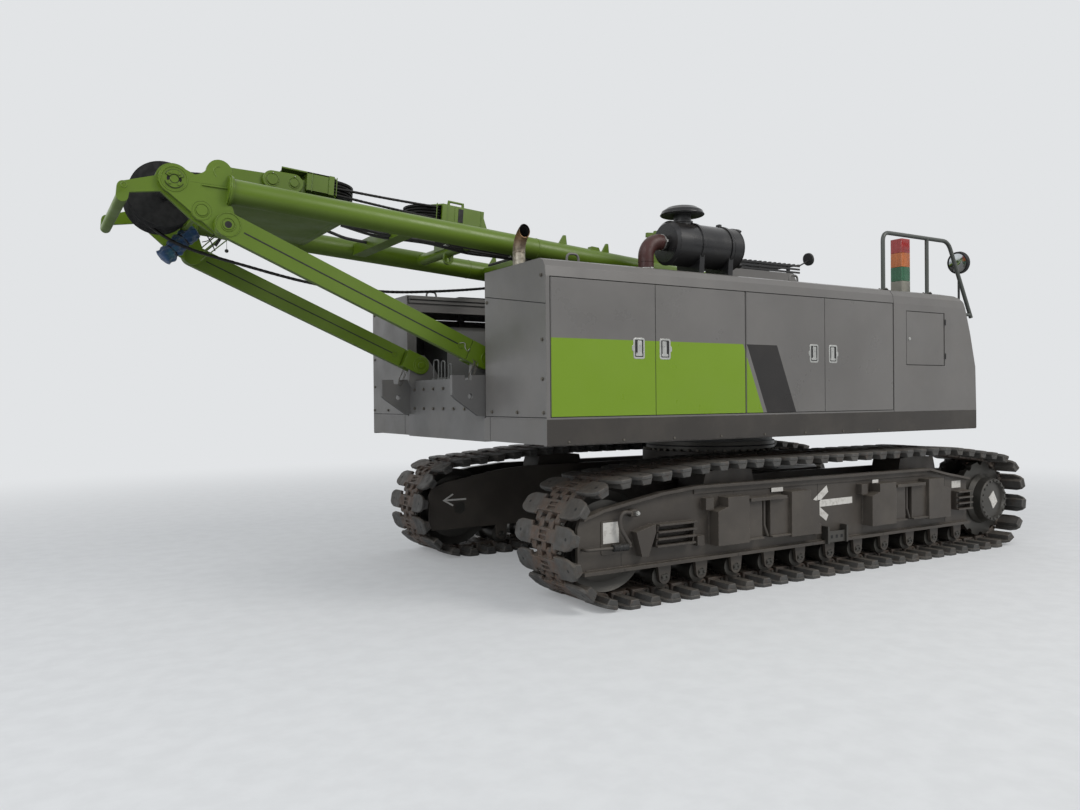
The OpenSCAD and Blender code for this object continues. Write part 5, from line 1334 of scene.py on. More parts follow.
class CRANE_OT_roof_fittings(bpy.types.Operator):
    """Builds the lamp tower, the handrail and the exhaust, and dresses the air cleaner and the mirror"""
    bl_idname = "crane.roof_fittings"
    bl_label = "Roof fittings"

    def execute(self, context):
        self.lamps()
        self.rail()
        self.exhaust()
        self.cleaner()
        self.elbow()
        self.mirror()
        return {"FINISHED"}

    def lamps(self):
        """A square base with rounded corners, and green, amber and red lenses with upright ribs."""
        x, y, side = 1.25, -1.33, 0.0645
        rib = block((-0.002, -0.002, 0.008), (0.002, 0.002, 0.126))
        ribs = [(x + dx, y + dy) for t in np.linspace(-0.045, 0.045, 7)
                for dx, dy in ((t, -side), (-side, t), (t, side), (side, t))]
        for k, label in enumerate(("base", "green", "amber", "red")):
            low = ROOF + 0.0003 + 0.135 * k
            shape = prism(rounded_box(0.130, 0.130, 0.014, (x, y)), low, low + 0.1340, 0.002, "z")
            if k:
                shape = join(shape, rib.copies([(*place, low) for place in ribs]))
            lamp = make_piece(f"lamp_{label}", shape, f"lens_{label}" if k else "lamp_body")
            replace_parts(lamp, "lamp_tower")

    def rail(self):
        """The handrail's bent tube with its two posts, on round feet held by three bolts each."""
        y, top = -1.547, 3.015
        fall = np.array([math.cos(math.radians(63)), 0, -math.sin(math.radians(63))])
        corner = np.array([1.68, y, top])
        path = bent([(0.70, y, ROOF), (0.70, y, top), corner, corner + 0.81 * fall], 0.085, 8)
        stay = corner + 0.78 * fall
        inner = tube([(1.345, y, ROOF), (1.345, y, top)], 0.018, 20)
        back = tube([(1.795, y, stay[2]), stay], 0.016, 16)
        feet = [disc(0.045, ROOF - 0.001, ROOF + 0.007, 24, 0.002, "z", (x, y, 0)) for x in (0.70, 1.345)]
        rail = make_piece("rail_tube", join(tube(path, 0.019, 20), inner, back, *feet), "rail_enamel")
        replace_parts(rail, "handrail")
        places = np.concatenate([ring_of(3, 0.034, (x, y, ROOF + 0.006), "z", 0.5) for x in (0.70, 1.345)])
        make_piece("rail_bolts", bolts(places, 0.014, "z"), "bolt_steel", sharp=30)

    def exhaust(self):
        """A slim pipe, straight and then round an arc: each ring is radius x (cosine across, sine away from
        the arc's middle), and it slides along the pipe with that sine, most at the slanted mouth."""
        x, y, bend, end = -2.88, -1.12, 0.17, math.radians(60)
        around = np.linspace(0, 2 * np.pi, 40, endpoint=False)[:, None]

        def ring(turn, radius, back=0.0):
            out = np.array([0, math.cos(turn), math.sin(turn)])
            ahead = np.array([0, -math.sin(turn), math.cos(turn)])
            centre = np.array([x, y - bend, ROOF + 0.11]) + bend * out - back * ahead
            slide = 0.5 * (turn / end) ** 2 * ahead
            return centre + radius * (np.cos(around) * [1, 0, 0] + np.sin(around) * (out + slide))

        turns = np.linspace(0, end, 21)
        outside, inside = [ring(a, 0.046) for a in turns], [ring(a, 0.0415) for a in turns[:3:-1]]
        pipe = skin(np.array([ring(0, 0.046, 0.111), *outside, *inside]))
        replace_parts(make_piece("exhaust_pipe", pipe, "heat_stained"), "exhaust")
        lining = [ring(a, 0.0413) for a in turns[4:-1]] + [ring(a, 0.0407) for a in turns[-2:4:-1]]
        make_piece("exhaust_soot", skin(np.array(lining)), "seal_rubber")
        foot = (x, y, 0)
        rings = ((0.0455, 0.051, 0.006, 0.010, 0.016), (0.0458, 0.049, 0.106, 0.110, 0.114))
        beads = [lathe([(r, ROOF + low), (out, ROOF + level), (r, ROOF + high)], 40, "z", foot, True)
                 for r, out, low, level, high in rings]
        collar = join(washer(0.072, 0.0455, ROOF - 0.001, ROOF + 0.006, 40, "z", foot), *beads)
        make_piece("exhaust_collar", collar, "heat_stained")

    def cleaner(self):
        """The air cleaner's straps, lugs, beads, feet and clamps, its screws, and the rims of its cap."""
        x, y, z = CLEANER
        r = CLEANER_R
        bands, stands = (0.264, 0.581), (0.265, 0.58)
        straps = [washer(r + 0.009, r + 0.0005, at - 0.013, at + 0.013, 72, "x", CLEANER) for at in bands]
        lug = block((-0.016, -0.022, 0.004), (0.016, 0.022, 0.028), 0.004)
        lugs = lug.copies([(x + at, y, z + r) for at in bands])
        beads = [[(r + 0.0005, a), (r + 0.005, a + 0.003), (r + 0.0005, a + 0.006)]
                 for a in (0.022, 0.60, 0.70)]
        rims = [lathe(bead, 72, "x", CLEANER, True) for bead in beads]
        foot = block((-0.035, -0.045, -0.001), (0.035, 0.045, 0.008), 0.002)
        feet = foot.copies([(x + at, y + side * 0.14, ROOF) for at in stands for side in (-1, 1)])
        pod = block((0.705, -0.022, r - 0.012), (0.745, 0.022, r + 0.006), 0.004)
        pods = pod.copies([CLEANER] * 3, turns_x((0.5, 2.6, 4.7)))
        make_piece("cleaner_trim", join(*straps, lugs, *rims, feet, pods), "cleaner_enamel")
        places = [(x + at, y + side * 0.165, ROOF + 0.008) for at in stands for side in (-1, 1)]
        screws = [disc(0.004, -0.034, 0.034, 10, 0.001, "y", (x + at, y, z + r + 0.017)) for at in bands]
        make_piece("cleaner_bolts", join(bolts(places, 0.022, "z"), *screws), "bright_steel", sharp=30)
        top = (x + 0.18, y, z + r - 0.02)
        cap = lathe([(0.176, 0.083), (0.1805, 0.088), (0.1785, 0.094), (0.1745, 0.090)], 72, "z", top, True)
        bowl = lathe([(0.0702, 0.020), (0.075, 0.024), (0.075, 0.040), (0.0702, 0.044)], 48, "z", top, True)
        make_piece("cap_rim", join(cap, bowl), "cleaner_enamel")

    def elbow(self):
        """Worm-drive bands at the elbow's ends, and the moulded rings of the sleeve."""
        x, y, z = CLEANER[0] - 0.03, *CLEANER[1:]
        bands = [washer(0.0655, 0.0618, -0.012, 0.0, 48, "x", (x - 0.004, y, z)),
                 washer(0.0655, 0.0618, -0.006, 0.006, 48, "z", (x - 0.170, y, ROOF + 0.06))]
        boxes = [block((x - 0.016, y - 0.085, z - 0.010), (x - 0.004, y - 0.062, z + 0.014), 0.002),
                 block((x - 0.184, y - 0.083, ROOF + 0.053), (x - 0.158, y - 0.062, ROOF + 0.067), 0.002)]
        make_piece("elbow_clamps", join(*bands, *boxes), "bright_steel")
        rings = [lathe([(0.0615, -0.004), (0.0650, -0.002), (0.0650, 0.002), (0.0615, 0.004)], 48, "z",
                       (x - 0.170, y, ROOF + h), True) for h in (0.012, 0.115)]
        middle = lathe([(0.0615, -0.004), (0.0645, 0), (0.0615, 0.004)], 48, "x", (x - 0.042, y, z), True)
        make_piece("elbow_rings", join(*rings, middle), "elbow_silicone")

    def mirror(self):
        """A domed glass on the mirror's rear face in a rubber rim, with its clamp and the arms' feet."""
        place, turn = (2.080, -1.400, 2.860), turn_y(math.radians(80))
        radii = np.linspace(0, 0.098, 8)
        dome = np.stack([radii, -0.0205 - 0.012 * (1 - (radii / 0.098) ** 2)], 1)
        face = lathe(np.concatenate([dome, [(0.098, -0.0195), (0, -0.0195)]]))
        make_piece("mirror_face", face.placed(place, turn), "mirror_glass")
        ring = lathe([(0.096, -0.026), (0.108, -0.024), (0.112, -0.012), (0.112, 0.018), (0.100, 0.0215),
                      (0.109, 0.0), (0.106, -0.018)], loop=True)
        back = lathe([(0, 0.0195), (0.06, 0.0195), (0.05, 0.036), (0.02, 0.044), (0, 0.045)], 32)
        make_piece("mirror_rim", join(ring, back).placed(place, turn), "seal_rubber")
        clamps = [block((2.066, -1.414, z - 0.012), (2.094, -1.386, z + 0.012), 0.003)
                  for z in (2.110, 2.180, 2.77)]
        make_piece("mirror_clamps", join(*clamps), "black_plastic")


# Ropes, main frame, mast and legs

HEAD_SHEAVE = (-6.33, 0.007)
SHEAVE_GROOVE = 0.211
EAR = (-6.058, 0.108)
LINK_PINS = ((-5.467, 0.239), (-5.625, 0.235))
LINK_END = (-5.985, 0.217)
BLOCK_LOW, BLOCK_HIGH = 0.2023, 0.3463
WINCHES_X = (-2.15, -1.25, -0.35)
WINCH_Z = 1.62
WINCH_SIDE = -0.572
FRAME_SIDE = -0.702
# The mast's tubes run along its X at this Y on the right, and its cheeks' outer faces stand this far out
MAST_TUBE = -0.610
CHEEK = 0.632
LEG_FACES = (-0.697, -0.637)
LEG_LENGTH = 2.0927
FOOT = 0.0825
BLOCK_SHEAVES = ((-5.17, 0.214), (-4.274, 0.184))
BLOCK_PITCH = 0.024
# Where the wrapped bundle is tied, as shares of its length
TIES = (0.36, 0.70)


def flowing(points, steps=8):
    """A smooth path through points: each span is the Catmull-Rom cubic of its four nearest points."""
    points = np.asarray(points, float)
    points = np.concatenate([[2 * points[0] - points[1]], points, [2 * points[-1] - points[-2]]])
    a, b, c, d = (points[k:len(points) - 3 + k, None] for k in range(4))
    t = np.linspace(0, 1, steps, endpoint=False)[None, :, None]
    span = 2 * b + (c - a) * t + (2 * a - 5 * b + 4 * c - d) * t ** 2 + (3 * b - a - 3 * c + d) * t ** 3
    return np.concatenate([span.reshape(-1, 3) / 2, points[-2:-1]])


def arc(centre, radius, start, end, steps, y=None):
    """Points of a circle in the XZ plane between two angles in degrees: flat, or in space at a given Y."""
    angles = np.radians(np.linspace(start, end, steps))
    x, z = centre[0] + radius * np.cos(angles), centre[1] + radius * np.sin(angles)
    return np.stack([x, z] if y is None else [x, np.full(steps, y), z], 1)


def ring_y(place, radius, y, section=0.003):
    """A round bead on a face square to Y."""
    return hoop(48, radius, (place[0], y, place[1]), section)


class CRANE_OT_winch_ropes(bpy.types.Operator):
    """Winds the rope on the three winches and bolts their flanges"""
    bl_idname = "crane.winch_ropes"
    bl_label = "Winch ropes"

    def execute(self, context):
        diameter = context.scene.crane_sizes.rope
        pitch = diameter * 1.1
        half = 0.536
        turns = int(2 * half / pitch)
        level = np.linspace(-half, half, turns * 6 + 1)
        wave = np.abs(np.sin((level + half) / (2 * half) * np.pi * turns))
        for name, x, radius in zip(("rear", "middle", "front"), WINCHES_X, (0.236, 0.222, 0.228)):
            profile = np.stack([radius - diameter / 2 * (1 - wave), level], 1)
            profile = np.concatenate([[(0.181, -half)], profile, [(0.181, half)]])
            wound = lathe(profile, 40, "y", (x, 0, WINCH_Z))
            make_piece(f"wound_rope_{name}", wound, "wire_rope", sharp=60)
        places = np.concatenate([ring_of(10, 0.12, (x, WINCH_SIDE, WINCH_Z)) for x in WINCHES_X])
        outer = np.concatenate([ring_of(14, 0.262, (x, WINCH_SIDE, WINCH_Z)) for x in WINCHES_X])
        heads = join(bolts(places, 0.028, away=-1), bolts(outer, 0.018, away=-1))
        on_sides("winch_bolts", heads, "bolt_steel", sharp=30)
        clamp = block((-0.03, -0.580, WINCH_Z + 0.20), (0.03, -0.571, WINCH_Z + 0.235), 0.003)
        on_sides("rope_clamps", clamp.copies([(x, 0, 0) for x in WINCHES_X]), "bright_steel")
        return {"FINISHED"}


class CRANE_OT_main_frame_trim(bpy.types.Operator):
    """Adds the frame's seams, pipes, hoses and the fittings at its rear"""
    bl_idname = "crane.main_frame_trim"
    bl_label = "Main frame trim"

    def execute(self, context):
        seams = [line((-2.9, FRAME_SIDE, 1.283), (1.3, FRAME_SIDE, 1.283), radius=0.004)]
        seams += [line((x, FRAME_SIDE, 1.27), (x, FRAME_SIDE, 1.50), radius=0.004)
                  for x in (-1.70, -0.80, 0.25, 0.90)]
        ears = [ring_y((-2.93, 1.84), r, -0.592, 0.003) for r in (0.052, 0.072)]
        on_sides("frame_seams", join(*seams, *ears), "frame_enamel")
        self.rear()
        self.pipes()
        return {"FINISHED"}

    def rear(self):
        """Pipes and a capped pin that stand on the rear plate's folded lip."""
        loops = []
        for y, top, width in ((0.36, 1.875, 0.10), (0.20, 1.86, 0.07), (0.05, 1.83, 0.05)):
            path = [(-2.90, y, 1.70), (-2.90, y, top), (-2.90, y - width, top), (-2.90, y - width, 1.70)]
            loops.append(tube(bent(path, 0.03, 5), 0.006, 10))
            loops += [disc(0.016, 1.699, 1.718, 12, 0.003, "z", (-2.90, at, 0)) for at in (y, y - width)]
        make_piece("rear_pipes", join(*loops), "tank_enamel")
        stub = [block((-2.975, -0.66, 1.699), (-2.895, -0.56, 1.712), 0.003),
                disc(0.014, 1.71, 1.755, 20, 0.003, "z", (-2.935, -0.61, 0)),
                disc(0.024, 1.752, 1.766, 20, 0.003, "z", (-2.935, -0.61, 0))]
        make_piece("capped_pin", join(*stub), "frame_enamel")
        spots = [(REAR_X, y, z) for y in np.linspace(-0.60, 0.60, 7) for z in (1.45, 1.62)]
        make_piece("rear_plate_bolts", bolts(spots, 0.022, "x", -1), "bolt_steel", sharp=30)
        ledge = [block((-2.965, 0.728, 2.452), (1.30, 0.7655, 2.486), 0.003),
                 block((-2.965, 0.746, 2.418), (1.30, 0.7655, 2.450), 0.003)]
        make_piece("inner_ledge", join(*ledge), "panel_enamel")

    def pipes(self):
        """Hydraulic lines along the floor of the frame, from a valve block to each winch."""
        hard, soft = [], []
        for k, y in enumerate((-0.64, -0.615, 0.615, 0.64)):
            z = 1.31 + 0.03 * (k % 2)
            hard.append(tube([(-2.6, y, z), (0.15, y, z)], 0.010, 10))
        for k, x in enumerate(WINCHES_X):
            for y in (-0.60, 0.60):
                route = flowing([(x + 0.30, y * 1.03, 1.31), (x + 0.36, y * 1.03, 1.36),
                                 (x + 0.36, y * 1.06, 1.50), (x + 0.22, y * 1.08, 1.60),
                                 (x + 0.06, y * 1.03, WINCH_Z)], 6)
                soft.append(tube(route, 0.014, 10))
        valves = [block((0.32, -0.30, 1.275), (0.62, 0.30, 1.42), 0.008),
                  *[disc(0.022, 1.42, 1.47, 20, 0.004, "z", (0.38 + 0.09 * i, y, 0)) for i in range(3)
                    for y in np.linspace(-0.24, 0.24, 6)]]
        for k in range(6):
            y = -0.25 + 0.10 * k
            soft.append(tube(flowing([(0.33, y, 1.36), (0.24, y * 1.2, 1.37), (0.08, y * 2.0, 1.33),
                                      (-0.05, y * 2.4, 1.31)], 6), 0.013, 10))
        make_piece("frame_pipes", join(*hard), "bright_steel")
        make_piece("frame_hoses", join(*soft), "hose_rubber")
        make_piece("valve_block", join(*valves), "machine_black")


class CRANE_OT_mast_trim(bpy.types.Operator):
    """Adds the keeper plates, rings and seams of the mast's head, its links, beam, hoses and clips"""
    bl_idname = "crane.mast_trim"
    bl_label = "Mast trim"

    def execute(self, context):
        self.cheeks()
        self.links()
        self.blocks()
        self.tubes()
        return {"FINISHED"}

    def lay(self, name, shape, finish_name, **settings):
        """Two pieces that ride on the mast, laid out in its frame."""
        return on_sides(name, shape, finish_name, "mast", on=ON_MAST, **settings)

    def cheeks(self):
        """Beads round the bosses, half-moon keepers with their bolts and the stiffening rib."""
        sheave, boss = HEAD_SHEAVE, (-6.15, -0.165)
        rings = [ring_y(sheave, 0.080, -CHEEK, 0.004), ring_y(boss, 0.043, -CHEEK, 0.0035),
                 ring_y(boss, 0.062, -CHEEK, 0.0025)]
        rings.append(tube(arc(EAR, 0.036, 90, 240, 20, -CHEEK), 0.004, 6))
        cap = disc(0.036, -CHEEK - 0.006, -CHEEK + 0.001, 32, 0.002, "y", (boss[0], 0, boss[1]))
        rib = [(-6.16, -0.003), (-5.972, 0.004), (-5.972, 0.020), (-6.16, 0.005)]
        rib = prism(rib, -CHEEK - 0.012, -CHEEK + 0.002, 0.002)
        lobe = arc(EAR, 0.082, 180, 0, 24)
        lobe = np.concatenate([[(-6.235, 0.010), (-6.205, 0.062), (-6.165, 0.078)], lobe, [(-5.976, 0.02)]])
        lobe = prism(lobe, -CHEEK - 0.0008, -0.5915, 0.0006)
        collar = hoop(40, 0.100, (-5.985, MAST_TUBE, 0), 0.007, "x", 8)
        self.lay("cheek_rings", join(*rings, cap, rib, lobe, collar), "lime_enamel")
        keepers = []
        for start in (22, 202):
            outer = arc(sheave, 0.058, start, start + 136, 16)
            inner = arc(sheave, 0.030, start + 136, start, 16)
            keepers.append(prism(np.concatenate([outer, inner]), -CHEEK - 0.009, -CHEEK + 0.001, 0.002))
        keepers.append(disc(0.027, -CHEEK - 0.004, -CHEEK + 0.001, 32, 0.002, "y", (sheave[0], 0, sheave[1])))
        self.lay("pin_keepers", join(*keepers), "lime_enamel")
        lines = [tube(arc(sheave, r, start, start + 136, 16, -CHEEK - 0.004), 0.0035, 5)
                 for r in (0.030, 0.058) for start in (22, 202)]
        self.lay("keeper_gaps", join(*lines), "seal_rubber")
        places = [(sheave[0] + 0.044 * math.cos(a), -CHEEK - 0.009, sheave[1] + 0.044 * math.sin(a))
                  for a in np.radians((50, 130, 230, 310))]
        self.lay("keeper_bolts", bolts(places, 0.015, away=-1), "lime_enamel", sharp=30)
        cross = [line((-5.95, -0.50, w), (-5.95, 0.50, w), radius=0.006) for w in (-0.20, -0.30)]
        on_mast("head_stays", join(*cross), "lime_enamel")

    def links(self):
        """The rope block: a housing, a plate with two pins on each side, and a bar on to each ear."""
        low, high, t = BLOCK_LOW, BLOCK_HIGH, 0.012
        plate = [(-5.375, -0.25), (-5.17, -0.25), (-5.11, -0.16), (-5.11, 0.16), (-5.17, 0.25),
                 (-5.375, 0.25)]
        nose = [(-5.565, -0.25), (-5.374, -0.25), (-5.374, 0.25), (-5.565, 0.25), (-5.545, 0.16),
                (-5.545, -0.16)]
        parts = [prism(plate, low, low + t, 0.002, "z"), prism(plate, high - t, high, 0.002, "z"),
                 prism(nose, high - t, high, 0.002, "z")]
        sides = [block((-5.375, -0.25, low), (-5.17, -0.238, high), 0.002),
                 block((-5.21, -0.26, low), (-5.17, -0.249, high), 0.002),
                 block((-5.375, -0.249, low), (-5.363, -0.110, high), 0.002),
                 block((-5.500, -0.2225, 0.190), (-5.370, -0.197, 0.288), 0.004)]
        for ends, radius, far, near in ((LINK_PINS, 0.068, -0.25, -0.224),
                                        ((LINK_PINS[1], LINK_END), 0.048, -0.2225, -0.199)):
            right = arc(ends[0], radius, 90, -90, 20)
            left = arc(ends[1], radius, 270, 90, 20)
            sides.append(prism(np.concatenate([right, left]), far, near, 0.003))
        for pin, radius in zip(LINK_PINS, (0.030, 0.038)):
            sides.append(disc(radius, -0.258, -0.190, 32, 0.003, "y", (pin[0], 0, pin[1])))
            sides.append(ring_y(pin, radius + 0.010, -0.2505, 0.0025))
        housing = on_mast("rope_housing", join(*parts, join(*sides).both()), "lime_enamel")
        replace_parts(housing, "rope_block")
        rest = tube([(-5.99, -0.60, 0.140), (-5.99, 0.60, 0.140)], 0.026, 16)
        belly = block((-5.975, -0.53, -0.045), (-5.15, 0.53, -0.033), 0.003)
        on_mast("head_plate", join(rest, belly), "lime_enamel")
        self.lay("arm_ring", ring_y((-6.617, -0.09), 0.016, -CHEEK + 0.001, 0.004), "lime_enamel")
        pins = [disc(0.004, -0.264, -0.236, 8, 0.001, "y", (x, 0, z + 0.048)) for x, z in LINK_PINS]
        self.lay("split_pins", join(*pins), "bright_steel")

    def blocks(self):
        """A rib round each block's open end, seams on their walls, and the rope in the sheaves' grooves."""
        walls = []
        for x, low in ((-5.15, 0.204), (-5.335, 0.204), (-4.32, 0.174), (-3.92, 0.174)):
            walls.append(line((x, -0.2515, low), (x, -0.2515, low + 0.14), radius=0.004))
        walls.append(block((-4.16, -0.2535, 0.176), (-4.13, -0.2495, 0.312)))
        self.lay("block_ribs", join(*walls), "lime_enamel")
        self.lay("block_gap", block((-4.128, -0.2522, 0.19), (-4.084, -0.2495, 0.30)), "seal_rubber")
        handle = bent([(-4.214, -0.225, 0.314), (-4.214, -0.225, 0.352), (-4.074, -0.225, 0.352),
                       (-4.074, -0.225, 0.314)], 0.03, 4)
        self.lay("block_handle", tube(handle, 0.006, 10), "lime_enamel")
        coils = [hoop(72, SHEAVE_GROOVE, (x, 0, low + BLOCK_PITCH * (k + 0.5)), 0.009, "z", 8)
                 for x, low in BLOCK_SHEAVES for k in range(5)]
        on_mast("groove_ropes", join(*coils), "wire_rope")
        grooves = [tube(arc(HEAD_SHEAVE, 0.207, 30, 345, 60, y), 0.008, 8)
                   for y in (-0.15, -0.09, 0.03, 0.09, 0.15)]
        on_mast("head_ropes", join(*grooves), "wire_rope")
        taut = []
        for side in (-1, 1):
            for first, second in ((0.274, 0.292), (0.226, 0.196)):
                x = np.linspace(BLOCK_SHEAVES[0][0], BLOCK_SHEAVES[1][0], 9)
                share = (x - x[0]) / (x[-1] - x[0])
                sag = 0.02 * share * (1 - share)
                path = [x, np.full(9, SHEAVE_GROOVE * side), first + (second - first) * share - sag]
                taut.append(rope(np.stack(path, 1), 0.021))
        on_mast("bridle_ropes", join(*taut), "wire_rope")

    def tubes(self):
        """Seams at the cross members, the padded beam, and hoses clipped along the tubes."""
        seams = [hoop(32, 0.053, (x, -0.528, 0), 0.006) for x in (-1.5, -2.7, -4.08, -5.2)]
        seams += [hoop(32, 0.0855, (x, MAST_TUBE, 0), 0.0025, "x") for x in (-0.30, -1.95, -3.60)]
        seams.append(ring_y((0, 0), 0.055, -0.742, 0.003))
        self.lay("mast_seams", join(*seams), "lime_enamel")
        beam = prism(box_outline((-3.47, -0.035), (-3.37, 0.02), 0.006), -0.53, 0.53)
        on_mast("mast_beam", beam, "lime_enamel")
        pad = prism(box_outline((-3.462, 0.0205), (-3.378, 0.050), 0.008), 0.06, 0.46, 0.006)
        on_mast("mast_pad", pad.both(), "seal_rubber")
        runs = [tube([(-4.45, -0.548, -0.074), (-1.3, -0.548, -0.074)], 0.011, 10),
                tube([(-4.45, -0.532, -0.056), (-1.3, -0.532, -0.056)], 0.008, 10)]
        clips = [block((-u - 0.02, -0.562, -0.088), (-u + 0.02, -0.522, -0.045), 0.004)
                 for u in np.arange(1.45, 4.45, 0.58)]
        on_mast("mast_hoses", join(*runs), "hose_rubber")
        on_mast("hose_clips", join(*clips), "bright_steel")
        loose = [tube(flowing([(-5.97, y * 1.2, 0.02), (-5.60, y * 1.1, -0.018), (-5.35, y, 0.010),
                               (-5.20, y, 0.066), (-5.02, y, 0.030), (-4.90, y, 0.006), (-4.72, y, 0.0)]),
                      0.013, 12) for y in (-0.22, -0.26, -0.36, 0.22)]
        for y, sag in ((-0.30, 0.030), (-0.33, 0.012), (-0.29, -0.010), (-0.26, 0.018)):
            loose.append(tube(flowing([(-5.10, y, -0.010), (-4.80, y + 0.02, -0.020 - sag),
                                       (-4.40, y - 0.03, -0.035), (-4.05, y, -0.030 - sag),
                                       (-3.60, y - 0.02, -0.040), (-3.42, y, -0.060)]), 0.011, 10))
        on_mast("head_hoses", join(*loose), "hose_rubber")


class CRANE_OT_slack_rope(bpy.types.Operator):
    """Lays the slack rope over the head sheave and hangs the wires and the wrapped bundle under the head"""
    bl_idname = "crane.slack_rope"
    bl_label = "Slack rope"

    def execute(self, context):
        place, turn = ON_MAST
        over = arc(HEAD_SHEAVE, SHEAVE_GROOVE, 70, 244, 22, -0.03)
        head = np.array([(-5.60, -0.03, 0.262), (-5.85, -0.03, 0.248), (-6.05, -0.03, 0.232)])
        start = np.concatenate([head, over]) @ turn.T + place
        free = np.array([(-5.033, 2.643), (-4.598, 2.532), (-4.044, 2.425), (-3.521, 2.401), (-3.091, 2.426),
                         (-2.622, 2.478), (-2.2, 2.545), (-1.85, 2.590), (-1.56, 2.622)])
        free = np.stack([free[:, 0] + SLEW_X, np.full(len(free), -0.03), free[:, 1]], 1)
        path = flowing(np.concatenate([start, free]), 6)
        diameter = 0.024
        piece = make_piece("slack_rope", rope(path, diameter), "wire_rope", "mast", (0, np.eye(3)))
        self.wires()
        self.bundle()
        return {"FINISHED"}

    def wires(self):
        """Thin ties under the head: two crossed wires, a short strap and a plumb on a thread."""
        first = [(-6.066, -0.35, -0.262), (-6.03, -0.35, -0.310), (-6.001, -0.35, -0.366)]
        second = [(-6.089, -0.35, -0.318), (-6.05, -0.35, -0.300), (-6.015, -0.35, -0.255)]
        ties = [tube(flowing(first), 0.004, 6), tube(flowing(second), 0.003, 6),
                tube([(-5.932, -0.35, -0.250), (-5.925, -0.35, -0.345)], 0.0015, 6)]
        ball = [(0, -0.014), (0.010, -0.010), (0.014, 0), (0.010, 0.010), (0, 0.014)]
        ball = lathe(ball, 16, "z", (-5.925, -0.35, -0.353))
        strap = [(-5.972, -0.250), (-5.952, -0.254), (-5.993, -0.334), (-6.010, -0.326)]
        strap = prism(strap, -0.356, -0.344)
        rod = disc(0.010, -0.50, 0.50, 12, 0.002, "y", (-5.95, 0, -0.250))
        on_mast("head_ties", join(*ties, ball, strap), "seal_rubber")
        on_mast("tie_rod", rod, "lime_enamel")

    def bundle(self):
        """A wrapped bundle: rings of a squarish outline along a line, waisted where it is tied."""
        t = np.linspace(0, 1, 49)[:, None]
        angles = np.linspace(0, 2 * np.pi, 48, endpoint=False)[None]
        swell = np.clip(np.minimum(t, 1 - t) / 0.06, 0, 1) ** 0.5
        waist = 1 - 0.16 * np.exp(-((t - TIES[0]) / 0.03) ** 2) - 0.14 * np.exp(-((t - TIES[1]) / 0.03) ** 2)
        fold = 1 + 0.07 * np.sin(5 * angles + 9 * t) + 0.05 * np.sin(9 * angles - 23 * t)
        fold = fold + 0.05 * np.sin(37 * t + 2 * angles)
        radius = 0.058 * swell * waist * fold * (1 + 0.06 * np.cos(4 * angles))
        start, end = np.array([-6.075, 0.065, -0.150]), np.array([-6.285, 0.065, -0.412])
        ahead = (end - start) / np.linalg.norm(end - start)
        first = np.array([0.0, 1.0, 0.0])
        second = np.cross(ahead, first)
        grid = start + t[..., None] * (end - start) + (radius * np.cos(angles))[..., None] * first
        grid = grid + (radius * np.sin(angles))[..., None] * second
        piece = on_mast("head_bundle", skin(grid), "wrap_cloth", sharp=70)
        ties = []
        around = np.cos(angles[0])[:, None] * first + np.sin(angles[0])[:, None] * second
        for at in TIES:
            ties.append(tube(start + at * (end - start) + 0.0515 * around, 0.004, 8, loop=True))
        hanger = tube(flowing([(-6.075, 0.065, -0.155), (-6.110, 0.065, -0.140), (-6.150, 0.065, -0.1415),
                               (-6.172, 0.065, -0.165), (-6.150, 0.065, -0.205)]), 0.004, 6)
        on_mast("bundle_ties", join(*ties, hanger), "seal_rubber")


